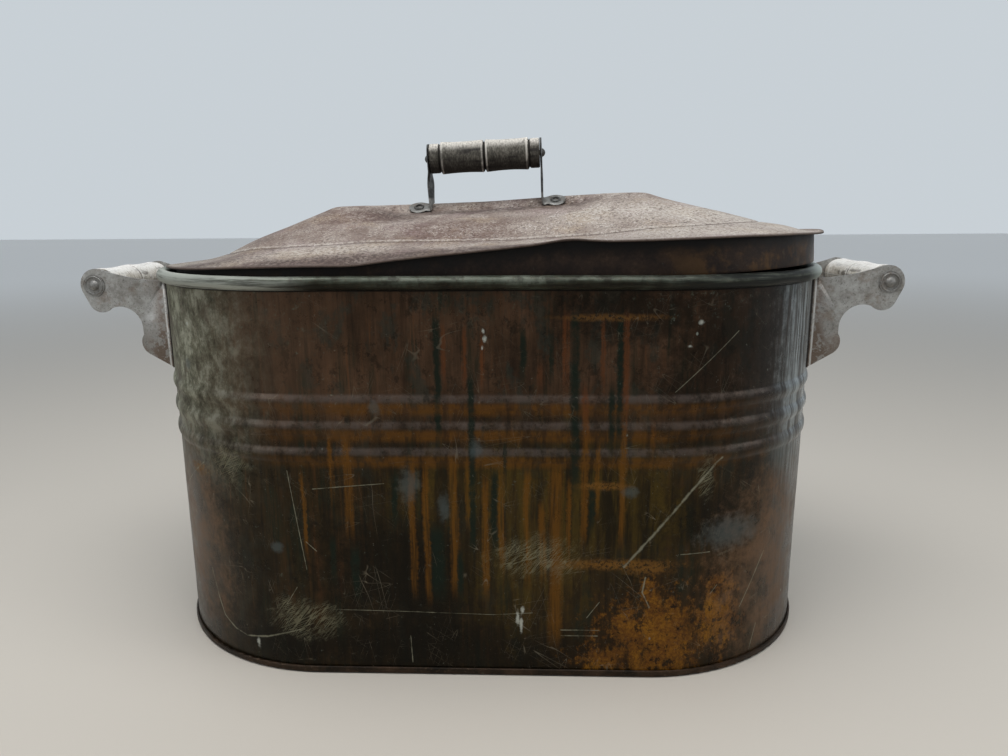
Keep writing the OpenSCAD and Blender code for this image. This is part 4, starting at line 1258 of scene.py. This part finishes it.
def make_stage():
    """A pale floor that cools with distance, a soft sky that is lighter at the back, and three lights."""
    s = Shader("pale_floor")
    away = s.vector("LENGTH", s.where, output="Value")
    s.colour = s.mix(s.level(away, 0.8, 5.0), (0.60, 0.555, 0.49), (0.93, 0.93, 0.92))
    floor_material = s.finish(s.level(away, 0.8, 5.0, 0.6, 0.35))
    half = 12000
    corners = [(-half, -half, 0), (half, -half, 0), (half, half, 0), (-half, half, 0)]
    floor = make_mesh("floor", corners, [(0, 1, 2, 3)], floor_material)
    world = bpy.data.worlds.new("studio")
    bpy.context.scene.world = world
    world.use_nodes = True
    nodes = Nodes(world.node_tree)
    away = nodes.split(nodes.add("ShaderNodeTexCoord").outputs["Generated"])[1]
    sky = nodes.mix(nodes.level(away, 0.2, 0.8), (0.30, 0.32, 0.34), (0.58, 0.63, 0.67))
    nodes.put(world.node_tree.nodes["Background"].inputs["Color"], sky)
    add_light("overhead", (-100, -350, 1500), (0, 0, 250), 1500, 900, 17)
    add_light("front_left", (-1300, -1400, 1000), (0, 0, 200), 900, 900, 3.5)
    add_light("right_window", (1500, -500, 900), (200, 0, 200), 700, 900, 4)
    bpy.context.scene.view_settings.view_transform = "Standard"


def add_light(name, place, target, width, height, watts):
    """A soft rectangular light, its place, target and size in millimetres."""
    data = bpy.data.lights.new(name, "AREA")
    data.shape = "RECTANGLE"
    data.size = width * MM
    data.size_y = height * MM
    data.energy = watts
    light = bpy.data.objects.new(name, data)
    light.location = Vector(place) * MM
    light.rotation_euler = (Vector(target) - Vector(place)).to_track_quat("-Z", "Y").to_euler()
    bpy.context.scene.collection.objects.link(light)


# ---- the whole part ----

def main():
    make_camera()
    copper = copper_material()
    lid = lid_material()
    band = band_material()
    iron = iron_material("tinned_iron", 1.35, 0.2)
    ear_iron = iron_material("ear_iron", 1.45, 0.15, ears=True)
    dark_iron = iron_material("dark_iron", 0.36, 0.6)
    leg_iron = iron_material("leg_iron", 0.80, 0.6, legs=True)
    rod_iron = iron_material("rod_iron", 0.95, 0.4)
    plain = plain_copper_material()
    old_wood = wood_material("old_wood", (0.220, 0.180, 0.135), (0.560, 0.520, 0.450),
                             (0.800, 0.780, 0.730), (0.070, 0.055, 0.040), (0.78, 0.77, 0.74))
    dark_wood = wood_material("dark_wood", (0.018, 0.016, 0.012), (0.062, 0.056, 0.045),
                              (0.170, 0.158, 0.130), (0.009, 0.007, 0.006), (0.660, 0.625, 0.565))
    make_walls(copper)
    make_lid_sheet(lid)
    make_lid_band(band)
    make_leg("left_leg", -1, -0.44, "lid_leg_left", leg_iron)
    make_leg("right_leg", 1, 0.08, "lid_leg_right", leg_iron)
    make_foot_rivets(dark_iron, band)
    make_grips(old_wood, dark_wood)
    for name in ("left_handle_bracket", "right_handle_bracket"):
        bevel_node(name, 0.4)
    # What each node is made of, by the end of its name. Any other is tinned iron
    looks = (("bottom_pan", plain), ("rim_wire", plain), ("rivet_burrs", plain),
             ("lid_handle_rod", dark_iron), ("handle_rod", rod_iron), ("washers", rod_iron),
             ("handle_bracket", ear_iron), ("side_sheet_front", copper), ("side_sheet_back", copper),
             ("lid_cover", lid), ("lid_skirt", lid), ("lid_grip", dark_wood), ("handle_grip", old_wood))
    for name, node in frame["nodes"].items():
        kind = next((look for ending, look in looks if name.endswith(ending)), iron)
        node.data.materials.clear()
        node.data.materials.append(kind)
    make_stage()


main()
